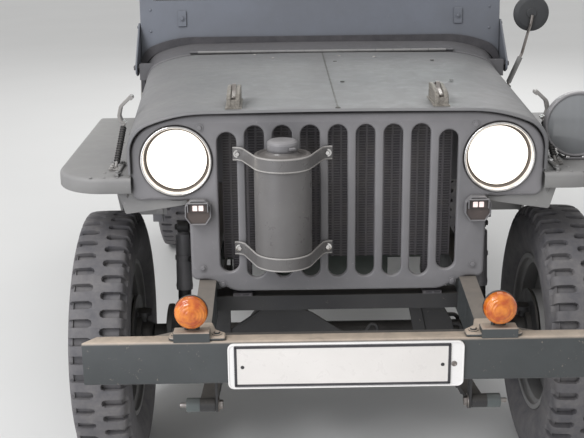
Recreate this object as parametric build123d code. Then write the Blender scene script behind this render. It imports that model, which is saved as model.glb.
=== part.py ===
from build123d import *
import math
import os

# Open army 4x4 car, quarter-ton class. Millimetres, +X to the car's left (driver's side),
# +Y to the rear, +Z up, origin on the floor under the middle of the overall box.

# Overall and running gear
wheelbase = 2032.0
front_overhang = 560.0
rear_overhang = 748.0
track = 1243.0
tyre_radius = 362.0
tyre_width = 160.0
tread_width = 132.0
rim_radius = 212.0
rim_width = 116.0
spindle_radius = 20.0
spindle_clearance = 0.05
kingpin_half_track = 540.0
steer_arm = 135.0
axle_tube_radius = 38.0
ball_radius = 47.0
spring_seat = 46.0
arm_drop = 96.0
diff_radius = 104.0
diff_x = -150.0
drum_radius = 120.0
running_gap = 5.0
seat_gap = 0.3
spring_inset = 5.0
spring_width = 44.0
damper_out, front_damper_out = 33.0, 68.0

# Engine, gearbox, exhaust and fuel tank
engine_half = 150.0
engine_length = 570.0
engine_top = 905.0
head_height = 70.0
sump_depth = 50.0
gearbox_length = 500.0
transfer_length = 150.0
transfer_low = 440.0
muffler_radius = 58.0
muffler_length = 480.0
fuel_tank_length = 390.0
tank_side_gap = 23.0
tank_wall_gap = 38.0

# Sheet metal and frame
sheet = 4.0
frame_half_width = 362.0
rail_width = 44.0
frame_top = 612.0
frame_bottom = 512.0

# Front end
grille_back_from_axle = -212.0
grille_half_width = 526.0
grille_low_half_width = 382.0
grille_top = 1045.0
grille_low = 575.0
slot_count = 9
slot_pitch = 70.3
slot_width = 49.0
slot_top = 1015.0
slot_low = 611.0
outer_slot_drop = 16.0
headlamp_x = 410.0
headlamp_z = 927.0
headlamp_radius = 91.0
marker_x = 358.0
marker_z = 795.0
turn_x = 356.0
turn_z = 645.0
turn_radius = 41.0
bumper_half = 612.0
bumper_low = 469.0
bumper_high = 571.0
bumper_depth = 41.0
bumper_sheet = 5.0
plate_inset = 87.0
plate_height = 118.0
plate_hole_inset = 43.0
hood_front_top = 1054.0
hood_rear_top = 1060.0
hood_front_half = 532.0
hood_rear_half = 552.0
hood_skirt_low = 895.0
fender_half = 728.0
fender_top = 887.0
apron_low = 745.0
fender_lip = 42.0
fender_corner = 95.0

# Body tub
cowl_front_from_axle = 778.0
cowl_depth = 152.0
cowl_top = 1066.0
cowl_front_half = 562.0
tub_half = 728.0
taper_from_cowl = 522.0
tub_rear_overhang = 520.0
tub_low = 470.0
tub_top = 945.0
sill_top = 662.0
floor_sheet = 5.0
wheelhouse_inner = 520.0
wheelhouse_half_length = 420.0
wheelhouse_top = 785.0
wheel_arch_radius = 405.0

# Windscreen
screen_half = 626.0
screen_top = 1745.0
screen_rake = 6.0
screen_face_back = 105.0
pivot_above_cowl = -52.0
pin_radius = 8.0

# Seats and small fittings
seat_above_floor = 153.0
seat_depth = 430.0
seat_back_height = 380.0
rear_seat_above_floor = 128.0
rear_seat_depth = 355.0
drive_lamp_x, drive_lamp_z = 640.0, 981.0
drive_lamp_radius = 66.0
drive_guard_radius = 87.0
catch_from_grille = 202.0
block_from_grille, block_x = 77.0, 262.0
block_half_width, block_half_length, block_gap = 17.0, 63.0, 19.0

overall_length = front_overhang + wheelbase + rear_overhang
front_axle_y = -overall_length / 2 + front_overhang
rear_axle_y = front_axle_y + wheelbase
wheel_x = track / 2
axle_z = tyre_radius
bumper_face_y = -overall_length / 2
grille_y = front_axle_y + grille_back_from_axle
cowl_y = front_axle_y + cowl_front_from_axle
dash_y = cowl_y + cowl_depth
taper_end_y = cowl_y + taper_from_cowl
tub_rear_y = rear_axle_y + tub_rear_overhang
engine_front = front_axle_y - 20
case_back = engine_front + engine_length + gearbox_length + transfer_length
floor_top = frame_top + floor_sheet
spare_x, spare_z = -285.0, 800.0
mirror_x, mirror_z = 722.0, 1176.0
handle_y = (rear_axle_y - 330, rear_axle_y + 230)
rail_rear_y = tub_rear_y - floor_sheet
hinge_y = cowl_y - 2
hinge_z = hood_rear_top + 7
pivot_y = cowl_y + 22
pivot_z = cowl_top + pivot_above_cowl
# The rest blocks stand near the hood's front edge, as high as the folded windscreen allows
block_y = grille_y + block_from_grille
block_top = pivot_z + screen_face_back - block_gap
SIDES = (-1, 1)


def slab(x0, x1, y0, y1, z0, z1):
    """Box between two corners."""
    centre = ((x0 + x1) / 2, (y0 + y1) / 2, (z0 + z1) / 2)
    return Pos(*centre) * Box(abs(x1 - x0), abs(y1 - y0), abs(z1 - z0))


def pair(x0, x1, y0, y1, z0, z1):
    """The same box on both sides of the car."""
    return [slab(s * x0, s * x1, y0, y1, z0, z1) for s in SIDES]


def plate_yz(points, x0, x1):
    """Outline of (y, z) points, extruded from x0 to x1."""
    face = make_face(Polyline(*[(x0, y, z) for y, z in points], close=True).edges())
    return extrude(face, amount=abs(x1 - x0), dir=(1 if x1 > x0 else -1, 0, 0))


def plate_xz(points, y0, y1):
    """Outline of (x, z) points, extruded from y0 to y1."""
    face = make_face(Polyline(*[(x, y0, z) for x, z in points], close=True).edges())
    return extrude(face, amount=abs(y1 - y0), dir=(0, 1 if y1 > y0 else -1, 0))


def plate_xy(points, z0, z1):
    """Outline of (x, y) points, extruded from z0 to z1."""
    face = make_face(Polyline(*[(x, y, z0) for x, y in points], close=True).edges())
    return extrude(face, amount=abs(z1 - z0), dir=(0, 0, 1 if z1 > z0 else -1))


def rod(a, b, radius):
    """Round bar from point a to point b."""
    a, b = Vector(*a), Vector(*b)
    plane = Plane(origin=a, z_dir=b - a)
    return extrude(plane * Circle(radius), amount=(b - a).length)


def bent_tube(points, radius, bend):
    """Round tube along straight runs joined by equal bends."""
    path = FilletPolyline(*points, radius=bend)
    start = Vector(*points[0])
    plane = Plane(origin=start, z_dir=Vector(*points[1]) - start)
    return sweep(plane * Circle(radius), path=path)


def disc_x(x0, x1, y, z, radius):
    """Disc across the car, from x0 to x1."""
    return rod((x0, y, z), (x1, y, z), radius)


def disc_y(y0, y1, x, z, radius):
    """Disc along the car, from y0 to y1."""
    return rod((x, y0, z), (x, y1, z), radius)


def disc_z(z0, z1, x, y, radius):
    """Upright disc, from z0 to z1."""
    return rod((x, y, z0), (x, y, z1), radius)


def joined(shapes):
    """One solid from pieces that overlap or touch."""
    whole = shapes[0]
    for s in shapes[1:]:
        whole = whole + s
    return whole


def mirrored(shape):
    return mirror(shape, about=Plane.YZ)


def write(node, *shapes):
    """One file per node, holding its solids apart."""
    solids = []
    for shape in shapes:
        for item in (shape if isinstance(shape, list) else [shape]):
            solids.extend(item.solids())
    body = solids[0] if len(solids) == 1 else Compound(children=solids)
    export_step(body, f"parts/{node}.step")


def arch_face(y, half, top, low):
    """Section of hood and cowl: flat top, two arcs to each side, upright sides down to low."""
    turn = math.radians(22)
    big, small = 380.0, 75.0
    run = big * math.sin(turn) + small * (1 - math.sin(turn))
    drop = big * (1 - math.cos(turn)) + small * math.cos(turn)
    flat = half - run

    def at(centre_x, centre_z, radius, angle):
        return (centre_x + radius * math.sin(angle), y, centre_z + radius * math.cos(angle))

    c2 = (half - small, top - drop)
    a0 = (flat, y, top)
    a1 = at(flat, top - big, big, turn / 2)
    a2 = at(flat, top - big, big, turn)
    b1 = at(*c2, small, (turn + math.pi / 2) / 2)
    b2 = (half, y, top - drop)

    def flip(p):
        return (-p[0], p[1], p[2])

    edges = [
        Line(flip(a0), a0), ThreePointArc(a0, a1, a2), ThreePointArc(a2, b1, b2),
        Line(b2, (half, y, low)), Line((half, y, low), (-half, y, low)),
        Line((-half, y, low), flip(b2)), ThreePointArc(flip(b2), flip(b1), flip(a2)),
        ThreePointArc(flip(a2), flip(a1), flip(a0)),
    ]
    return make_face(edges)


def arch_block(y0, y1, half0, half1, top0, top1, low):
    """Solid between two arch sections."""
    return loft([arch_face(y0, half0, top0, low), arch_face(y1, half1, top1, low)], ruled=True)


def cowl_half(y):
    """Half width of the tapering cowl and side panels at y."""
    share = (y - cowl_y) / (taper_end_y - cowl_y)
    return cowl_front_half + (tub_half - cowl_front_half) * min(max(share, 0), 1)


def make_frame():
    """Two side rails; the cross members are apart, so the gaps between them stay open."""
    rail_front_y = bumper_face_y + bumper_depth
    rail = [
        (rail_front_y, bumper_high - 2), (grille_y, frame_top - 6), (grille_y + 300, frame_top),
        (rail_rear_y, frame_top), (rail_rear_y, frame_bottom),
        (grille_y + 300, frame_bottom), (grille_y, frame_bottom - 8), (rail_front_y, bumper_low + 16),
    ]
    inner = frame_half_width - rail_width
    rails = [plate_yz(rail, s * inner, s * frame_half_width) for s in SIDES]
    # Gusset plates from the bumper's top flange back over each rail
    gusset = [
        (s * x, y)
        for s in (1,)
        for x, y in [
            (inner - 42, bumper_face_y + 6), (frame_half_width + 98, bumper_face_y + 6),
            (frame_half_width + 98, rail_front_y + 6), (frame_half_width, rail_front_y + 60),
            (inner, rail_front_y + 60), (inner - 42, rail_front_y + 6),
        ]
    ]
    top = plate_xy(gusset, bumper_high, bumper_high + 4)
    return rails, [top, mirrored(top)]


def make_frame_node():
    rails, gussets = make_frame()
    seats = [
        slab(s * (frame_half_width - rail_width), s * frame_half_width,
             bumper_face_y + bumper_depth, bumper_face_y + bumper_depth + 55,
             bumper_high - 30, bumper_high + 1)
        for s in SIDES
    ]
    write("frame_rails", [joined([rails[i], seats[i], gussets[1 - i]]) for i in (0, 1)])
    inner = frame_half_width - rail_width
    # Cross members. Columns: front y, length, low z, high z
    table = [
        (bumper_face_y + 95, 45, bumper_low + 30, bumper_low + 75),
        (grille_y + 10, 60, frame_bottom + 4, frame_bottom + 44),
        (case_back + 110, 70, frame_bottom + 10, frame_top - 8),
        (rear_axle_y - 282, 60, frame_bottom + 10, frame_top - 8),
        (rail_rear_y - 60, 60, frame_bottom, frame_top - 4),
    ]
    members = [slab(-inner, inner, y, y + length, low, high) for y, length, low, high in table]
    tray = plate_xz(
        [(-inner - 30, frame_bottom), (-inner - 30, frame_bottom - 10), (-240, 432), (240, 432),
         (inner + 30, frame_bottom - 10), (inner + 30, frame_bottom), (inner, frame_bottom),
         (235, 440), (-235, 440), (-inner, frame_bottom)],
        case_back - 170, case_back + 10,
    )
    write("cross_members", members, tray)


def make_bumper():
    face = slab(-bumper_half, bumper_half, bumper_face_y, bumper_face_y + bumper_sheet,
                bumper_low, bumper_high)
    cut = bumper_depth * 0.8
    outline = [
        (-bumper_half, bumper_face_y), (bumper_half, bumper_face_y),
        (bumper_half, bumper_face_y + bumper_sheet),
        (bumper_half - cut, bumper_face_y + bumper_depth),
        (-bumper_half + cut, bumper_face_y + bumper_depth),
        (-bumper_half, bumper_face_y + bumper_sheet),
    ]
    top = plate_xy(outline, bumper_high - bumper_sheet, bumper_high)
    low = plate_xy(outline, bumper_low, bumper_low + bumper_sheet)
    write("front_bumper", joined([face, top, low]))
    plate_low = bumper_low - 12
    half = frame_half_width - plate_inset
    holder = slab(-half, half, bumper_face_y - 8, bumper_face_y, plate_low,
                  plate_low + plate_height)
    for s in SIDES:
        hole = disc_y(bumper_face_y - 9, bumper_face_y + bumper_sheet + 1,
                      s * (half - plate_hole_inset), plate_low + plate_height / 2, 3.5)
        holder = holder - hole
    write("number_plate", holder)


def make_grille():
    """Pressed guard with nine upright slots and two round lamp openings, its rim turned back."""
    notch_z = frame_top - 5.9
    shoulder_low = 824.0
    outline = [
        (-grille_low_half_width, notch_z), (-grille_low_half_width, shoulder_low),
        (-grille_half_width, shoulder_low), (-grille_half_width, grille_low),
        (grille_half_width, grille_low), (grille_half_width, shoulder_low),
        (grille_low_half_width, shoulder_low), (grille_low_half_width, notch_z),
    ]
    arch = extrude(arch_face(grille_y, grille_half_width, grille_top, grille_low), amount=sheet,
                   dir=(0, 1, 0))
    # Metal taken away beside and under the lamp shoulders and over the frame rails
    low_w, far = grille_low_half_width, grille_half_width + 5
    for s in SIDES:
        arch = arch - slab(s * low_w, s * far, grille_y - 1, grille_y + sheet + 1,
                           grille_low - 1, shoulder_low)
        arch = arch - slab(s * (frame_half_width - rail_width - 50), s * far, grille_y - 1,
                           grille_y + sheet + 1, grille_low - 1, notch_z)
    for i in range(slot_count):
        x = (i - (slot_count - 1) / 2) * slot_pitch
        drop = outer_slot_drop if i in (0, slot_count - 1) else 0
        top, low = slot_top - drop, slot_low + drop
        r = slot_width / 2
        arch = arch - slab(x - r, x + r, grille_y - 1, grille_y + sheet + 1, low + r, top - r)
        arch = arch - disc_y(grille_y - 1, grille_y + sheet + 1, x, top - r, r)
        arch = arch - disc_y(grille_y - 1, grille_y + sheet + 1, x, low + r, r)
    for s in SIDES:
        arch = arch - disc_y(grille_y - 1, grille_y + sheet + 1, s * headlamp_x, headlamp_z,
                             headlamp_radius)
    rim = [
        slab(s * (grille_half_width - sheet), s * grille_half_width, grille_y, grille_y + 34,
             shoulder_low, grille_top - 97)
        for s in SIDES
    ] + [
        slab(s * (low_w - sheet), s * low_w, grille_y, grille_y + 34, notch_z, shoulder_low)
        for s in SIDES
    ]
    write("grille_guard", joined([arch, *rim]))


def make_radiator():
    y0 = grille_y + 52
    core = slab(-298, 298, y0, y0 + 60, 650, 985)
    top = slab(-298, 298, y0 - 8, y0 + 68, 985, 1032)
    feet = pair(225, 275, y0, y0 + 8, frame_bottom + 44, 650)
    stays = pair(225, 275, grille_y + 10, y0 + 8, frame_bottom + 44, frame_bottom + 52)
    write("radiator", joined([core, top, *feet, *stays]))


def make_coolant_tank():
    """Round overflow tank on the guard, its two straps bolted to the bars beside it."""
    x, radius = -slot_pitch * 2, 71.5
    low, high = 675.0, 962.0
    y = grille_y - radius - 4
    tank = disc_z(low, high, x, y, radius)
    neck = disc_z(high, high + 12, x, y, 46) + disc_z(high + 12, high + 34, x, y, 38)
    straps = []
    for z in (low + 20, high - 17):
        band = disc_z(z - 16, z + 16, x, y, radius + 3)
        foot = slab(x - 126, x + 126, grille_y - 5, grille_y, z - 16, z + 16)
        web = plate_xy([(x - 96, grille_y - 5), (x + 96, grille_y - 5), (x + radius + 2, y),
                        (x - radius - 2, y)], z - 16, z + 16)
        straps.append(joined([band, foot, web]))
    write("coolant_tank", joined([tank, neck, *straps]))


def make_lamps():
    heads, markers, turns = [], [], []
    for s in SIDES:
        x = s * headlamp_x
        bucket = disc_y(grille_y + 6, grille_y + 95, x, headlamp_z, headlamp_radius - 6)
        lens = disc_y(grille_y - 4, grille_y + 6, x, headlamp_z, headlamp_radius - 4)
        stay = slab(x - 12, x + 12, grille_y + sheet, grille_y + 30, headlamp_z + 80, 1022)
        heads.append(joined([bucket, lens, stay]))
        mx = s * marker_x
        markers.append(disc_y(grille_y - 26, grille_y, mx, marker_z, 34))
        tx = s * turn_x
        ty = bumper_face_y + 22
        lamp = disc_y(ty - 30, ty + 18, tx, turn_z, turn_radius)
        stem = disc_z(bumper_high + 4, turn_z, tx, ty, 9)
        turns.append(joined([lamp, stem]))
    write("headlamps", heads)
    write("marker_lamps", markers)
    write("turn_signals", turns)


def make_fenders():
    """Flat-topped front fenders with a turned-down lip and a sloping rear leg."""
    y0 = grille_y - 6
    flat_end = front_axle_y + 575
    leg_y, leg_z = cowl_y, 500.0
    inner_front, inner_rear = grille_half_width, cowl_front_half - 14
    plan = [
        (inner_front, y0), (fender_half - fender_corner, y0), (fender_half, y0 + fender_corner),
        (fender_half, leg_y), (inner_rear, leg_y), (inner_front, y0 + 40),
    ]

    outer = plate_yz(
        [(y0, fender_top), (flat_end, fender_top), (leg_y, leg_z),
         (leg_y, leg_z - fender_lip * 0.2), (leg_y - 30, leg_z - fender_lip * 0.2),
         (flat_end - 24, fender_top - fender_lip), (y0, fender_top - fender_lip)],
        0, fender_half)
    inner = plate_yz(
        [(y0 + sheet, fender_top - sheet), (flat_end - 2, fender_top - sheet),
         (leg_y - 4.5, leg_z), (leg_y - 4.5, leg_z - 50), (leg_y - 90, leg_z - 50),
         (flat_end - 60, fender_top - 200), (y0 + sheet, fender_top - 200)],
        -1, fender_half - sheet)
    base = make_face(Polyline(*[(x, y, 400) for x, y in plan], close=True).edges())
    shape = extrude(base, amount=600, dir=(0, 0, 1))
    plan_in = [
        (0, y0 + sheet), (fender_half - fender_corner - 1, y0 + sheet),
        (fender_half - sheet, y0 + fender_corner + 1), (fender_half - sheet, leg_y + 10),
        (0, leg_y + 10),
    ]
    hollow = inner & plate_xy(plan_in, 300, 1100)
    # Upright apron along the engine bay, from the flat top down to over the tyre
    apron = plate_xy([(inner_front, y0 + 40), (inner_front + sheet, y0 + 40),
                      (inner_rear + sheet, leg_y), (inner_rear, leg_y)],
                     apron_low, fender_top - sheet / 2)
    under = plate_yz([(y0, fender_top), (flat_end, fender_top), (leg_y, leg_z), (leg_y, 0),
                      (y0, 0)], 0, fender_half)
    left = (outer & shape) - hollow + (apron & under)
    write("front_fenders", left, mirrored(left))


def make_hood():
    y0, y1 = grille_y - 12, cowl_y - 3
    outer = arch_block(y0, y1, hood_front_half, hood_rear_half, hood_front_top, hood_rear_top,
                       hood_skirt_low)
    inner = arch_block(y0 + sheet, y1 + 5, hood_front_half - sheet, hood_rear_half - sheet,
                       hood_front_top - sheet, hood_rear_top - sheet, hood_skirt_low - 5)
    front_open = slab(-hood_rear_half, hood_rear_half, y0 - 1, y0 + sheet + 1,
                      hood_skirt_low - 5, hood_front_top - 18)
    strip = slab(-hood_rear_half, hood_rear_half, y0 - 1, y0 + 14, hood_skirt_low - 5,
                 hood_front_top - 112)
    hood = outer - inner - front_open - strip
    hinge = [disc_x(x - 60, x + 60, hinge_y, hinge_z, 4.5) for x in (-330, 330)]
    leaf = [slab(x - 60, x + 60, hinge_y - 40, hinge_y, hood_rear_top - 2, hood_rear_top + 4)
            for x in (-330, 330)]
    write("hood", joined([hood, *hinge, *leaf]))
    blocks = []
    for s in SIDES:
        x = s * block_x
        blocks.append(slab(x - block_half_width, x + block_half_width, block_y - block_half_length,
                           block_y + block_half_length, hood_front_top - 8, block_top))
    hood_outer = outer
    write("hood_blocks", [b - hood_outer for b in blocks])


def tub_plan(inset):
    """Plan of the body tub, inset from its outside, as (x, y) points."""
    corner = 60.0
    w, r = tub_half - inset, tub_rear_y - inset
    d = cowl_half(dash_y) - inset
    return [(-d, dash_y), (d, dash_y), (w, taper_end_y), (w, r - corner), (w - corner, r),
            (-w + corner, r), (-w, r - corner), (-w, taper_end_y)]


def side_profile():
    """Side panel outline in (y, z): door opening with eased corners, then the high rear side."""
    door_y = rear_axle_y - 472
    return [
        (dash_y, tub_low), (dash_y, cowl_top - 97), (dash_y + 55, cowl_top - 130),
        (dash_y + 120, sill_top + 150), (dash_y + 160, sill_top + 60),
        (dash_y + 250, sill_top),
        (door_y, sill_top), (door_y + 55, sill_top + 30), (door_y + 90, sill_top + 110),
        (door_y + 125, tub_top - 90), (door_y + 170, tub_top - 25), (door_y + 230, tub_top),
        (tub_rear_y + 5, tub_top), (tub_rear_y + 5, tub_low),
    ]


def make_tub():
    walls = plate_xy(tub_plan(0), tub_low, cowl_top) - plate_xy(
        [(x, y - (20 if y == dash_y else 0)) for x, y in tub_plan(floor_sheet)],
        tub_low - 1, cowl_top + 1)
    walls = walls & plate_yz(side_profile(), -tub_half - 5, tub_half + 5)
    arch_low = tub_low - 10
    for s in SIDES:
        walls = walls - disc_x(s * (tub_half - 100), s * (tub_half + 10), rear_axle_y, axle_z,
                               wheel_arch_radius)
    # Rear quarters start where the corners turn
    split_y = tub_rear_y - 60
    front = walls & slab(-tub_half - 5, tub_half + 5, dash_y - 1, split_y, arch_low, cowl_top + 1)
    rear = walls & slab(-tub_half - 5, tub_half + 5, split_y, tub_rear_y + 5, arch_low,
                        cowl_top + 1)
    rear = rear - slab(-575, 575, split_y, tub_rear_y + 5, arch_low, frame_top - 4)
    write("body_sides", front)
    write("rear_panel", rear)
    # Floor between the walls, with the rear wheelhouses cut out
    floor = plate_xy([(x, y) for x, y in tub_plan(floor_sheet)], frame_top, floor_top)
    front_bay = slab(-cowl_half(cowl_y) + floor_sheet, cowl_half(cowl_y) - floor_sheet,
                     cowl_y + floor_sheet, dash_y, frame_top, floor_top)
    floor = floor + front_bay
    y0, y1 = rear_axle_y - wheelhouse_half_length, rear_axle_y + wheelhouse_half_length
    outer_x = tub_half - floor_sheet
    houses = []
    for s in SIDES:
        floor = floor - slab(s * wheelhouse_inner, s * (outer_x + 5), y0, y1, frame_top - 1,
                             floor_top + 1)
        box = slab(s * wheelhouse_inner, s * outer_x, y0, y1, frame_top, wheelhouse_top)
        inside = slab(s * (wheelhouse_inner + floor_sheet), s * (outer_x + 5), y0 + floor_sheet,
                      y1 - floor_sheet, frame_top - 1, wheelhouse_top - floor_sheet)
        houses.append(box - inside)
    write("floor_pan", floor)
    write("wheelhouses", houses)


def make_cowl():
    """Firewall, arched top and tapering sides of the cowl, closed behind by the dash."""
    h0, h1 = cowl_half(cowl_y), cowl_half(dash_y)
    outer = arch_block(cowl_y, dash_y, h0, h1, cowl_top - 4, cowl_top, tub_low)
    inner = arch_block(cowl_y + floor_sheet, dash_y + 1, h0 - floor_sheet, h1 - floor_sheet,
                       cowl_top - 4 - floor_sheet, cowl_top - floor_sheet, tub_low - 1)
    cowl = outer - inner
    cowl = cowl - slab(-h1, h1, cowl_y - 1, cowl_y + floor_sheet + 1, tub_low - 1, frame_top)
    dash = extrude(arch_face(dash_y - floor_sheet, h1 - 2, cowl_top - 2, cowl_top - 190),
                   amount=floor_sheet, dir=(0, 1, 0))
    cowl = cowl + dash
    a, b = column_points()
    cowl = cowl - rod(a, b, 27)
    hinges = [disc_x(x, x + 50, hinge_y, hinge_z, 4.5) for x in (-445, -265, 215, 395)]
    feet = [slab(x, x + 50, cowl_y, cowl_y + 30, cowl_top - 8, hinge_z + 3)
            for x in (-445, -265, 215, 395)]
    lugs = [
        slab(s * (cowl_half(pivot_y) - 45), s * (screen_half - 6), pivot_y - 14, pivot_y + 14,
             pivot_z - 40, pivot_z + 14) - outer
        for s in SIDES
    ]
    pins = [disc_x(s * (screen_half - 10), s * (screen_half + 14), pivot_y, pivot_z, pin_radius)
            for s in SIDES]
    write("cowl", joined([cowl, *hinges, *feet, *lugs, *pins]))


def column_points():
    """Steering column axis: lower end at the steering box, upper end at the wheel's hub."""
    tilt = math.radians(38)
    hub = (frame_half_width - 66, dash_y + 330, cowl_top + 44)
    length = 870.0
    low = (hub[0], hub[1] - length * math.cos(tilt), hub[2] - length * math.sin(tilt))
    return low, hub


def make_steering():
    low, hub = column_points()
    axis = (Vector(*hub) - Vector(*low)).normalized()
    end = Vector(*hub) - axis * 60
    tube = rod(low, tuple(end), 20)
    box_x = frame_half_width - rail_width
    box = slab(box_x - 62, box_x, low[1] - 30, low[1] + 70, low[2] - 40, frame_top - 20)
    write("steering_column", joined([tube, box]))
    plane = Plane(origin=hub, z_dir=axis)
    ring = revolve(plane * (Pos(208, 0, 0) * Rot(90, 0, 0) * Circle(11)),
                   axis=Axis(hub, tuple(axis)))
    spokes = []
    for k in range(3):
        angle = math.radians(90 + 120 * k)
        tip = plane.from_local_coords(Vector(204 * math.cos(angle), 204 * math.sin(angle), 0))
        spokes.append(rod(hub, tuple(tip), 6))
    boss = rod(tuple(Vector(*hub) - axis * 59.7), tuple(Vector(*hub) + axis * 10), 24)
    write("steering_wheel", joined([boss, *spokes, ring]))


def screen_tilt(shape):
    """Leans the windscreen back about its pivots."""
    return Rotation(0, 0, 0) * shape.rotate(Axis((0, pivot_y, pivot_z), (1, 0, 0)), -screen_rake)


def make_windscreen():
    """Folding frame: posts, top rail, centre bar and a low panel that follows the cowl."""
    y0 = pivot_y + screen_face_back
    y1 = y0 + 24
    post, panel_top, glass_low = 30.0, 1228.0, 1240.0
    outer = slab(-screen_half, screen_half, y0, y1, pivot_z - 20, screen_top)
    top_corner = outer.edges().filter_by(Axis.Y).group_by(Axis.Z)[-1]
    outer = fillet(top_corner, 62)
    glass_hole = slab(-screen_half + post, screen_half - post, y0 - 1, y1 + 1, glass_low,
                      screen_top - post)
    thin = slab(-screen_half + post, screen_half - post, y0 + 8, y1 + 1, pivot_z - 30,
                panel_top)
    seal = 32.0
    half = cowl_half(dash_y)
    bite = extrude(arch_face(y0 - 60, half + 6, cowl_top + seal + 14, tub_low), amount=200,
                   dir=(0, 1, 0))
    frame = outer - glass_hole - thin - bite
    bar = slab(-14, 14, y0 + 4, y1 - 4, glass_low, screen_top - post)
    arms = []
    for s in SIDES:
        x0, x1 = s * (screen_half - 1), s * (screen_half + 12)
        arm = plate_yz([(y1, pivot_z + 150), (y1, pivot_z - 20), (pivot_y + 16, pivot_z - 24),
                        (pivot_y - 18, pivot_z - 18), (pivot_y - 18, pivot_z + 14),
                        (y0, pivot_z + 150)], x0, x1)
        arms.append(arm - disc_x(x0 - s, x1 + s, pivot_y, pivot_z, pin_radius + spindle_clearance))
    write("windscreen_frame", screen_tilt(joined([frame, bar, *arms])))
    panes = [
        slab(s * 14, s * (screen_half - post), y0 + 9, y0 + 15, glass_low, screen_top - post)
        for s in SIDES
    ]
    write("windscreen_glass", [screen_tilt(p) for p in panes])


def make_wheel(side, x, y, z):
    """Wheel with its hub and drum, and the tyre, turned about the wheel's own axle line."""
    bore = spindle_radius + spindle_clearance

    def ring(points):
        """Closed section of (along the axle outwards, radius) points, turned about the axle."""
        face = make_face(Polyline(*[(x + side * a, y, z + r) for a, r in points],
                                  close=True).edges())
        return revolve(face, axis=Axis((x, y, z), (1, 0, 0)))

    half, flange = rim_width / 2, 12.0
    pieces = [
        ring([(-8, bore), (30, bore), (30, 0), (42, 0), (42, 30), (36, 44), (-8, 44)]),
        ring([(-53, drum_radius - 8), (-53, drum_radius), (-10, drum_radius), (-6, 40),
              (-12, 40), (-16, drum_radius - 8)]),
        ring([(-10, 40), (-4, 40), (6, 90), (20, 110), (6, 150), (0, rim_radius - 6),
              (-7, rim_radius - 6), (0, 150), (12, 110), (0, 92)]),
        ring([(-half, rim_radius - 7), (-half, rim_radius + flange), (-half + 4, rim_radius + flange),
              (-half + 4, rim_radius), (half - 4, rim_radius), (half - 4, rim_radius + flange),
              (half, rim_radius + flange), (half, rim_radius - 7)]),
    ]
    return joined(pieces), make_tyre(ring, half)


def make_tyre(ring, half):
    tread, bulge = tread_width / 2, tyre_width / 2
    bead = rim_radius + seat_gap
    inside = half - 4 - seat_gap
    return ring([
        (-inside, bead), (-inside, rim_radius + 14), (-bulge + 6, rim_radius + 36),
        (-bulge, rim_radius + 78), (-bulge + 3, rim_radius + 112), (-tread, tyre_radius - 9),
        (-tread + 16, tyre_radius), (tread - 16, tyre_radius), (tread, tyre_radius - 9),
        (bulge - 3, rim_radius + 112), (bulge, rim_radius + 78), (bulge - 6, rim_radius + 36),
        (inside, rim_radius + 14), (inside, bead),
    ])


def spring_span(side):
    """Inner and outer side of the leaf packs, under the frame rails."""
    outer = frame_half_width - spring_inset
    return side * (outer - spring_width), side * outer


def spring_pads(y):
    """Seats that the leaf packs are clamped to, under both ends of an axle."""
    return [slab(*spring_span(s), y - 45, y + 45, axle_z - spring_seat, axle_z) for s in SIDES]


def make_axles():
    """Front axle with a ball at each end, rear axle with its backing plates and spindles."""
    tube_front = disc_x(-kingpin_half_track, kingpin_half_track, front_axle_y, axle_z,
                        axle_tube_radius - 2)
    balls = [Pos(s * kingpin_half_track, front_axle_y, axle_z) * Sphere(ball_radius)
             for s in SIDES]
    diff = Pos(diff_x, front_axle_y, axle_z) * Sphere(diff_radius)
    nose = disc_y(front_axle_y, front_axle_y + 190, diff_x, axle_z, 42)
    pads = spring_pads(front_axle_y)
    write("front_axle", joined([tube_front, *balls, diff, nose, *pads]))
    plate_x = wheel_x - 58
    tube = disc_x(-plate_x, plate_x, rear_axle_y, axle_z, axle_tube_radius)
    plates = [disc_x(s * (plate_x - 6), s * plate_x, rear_axle_y, axle_z, drum_radius + 2)
              for s in SIDES]
    spindles = [disc_x(s * (plate_x - 10), s * (wheel_x + 29), rear_axle_y, axle_z,
                       spindle_radius) for s in SIDES]
    diff = Pos(diff_x, rear_axle_y, axle_z) * Sphere(diff_radius)
    nose = disc_y(rear_axle_y - 190, rear_axle_y, diff_x, axle_z, 42)
    pads = spring_pads(rear_axle_y)
    write("rear_axle", joined([tube, *plates, *spindles, diff, nose, *pads]))


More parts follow.
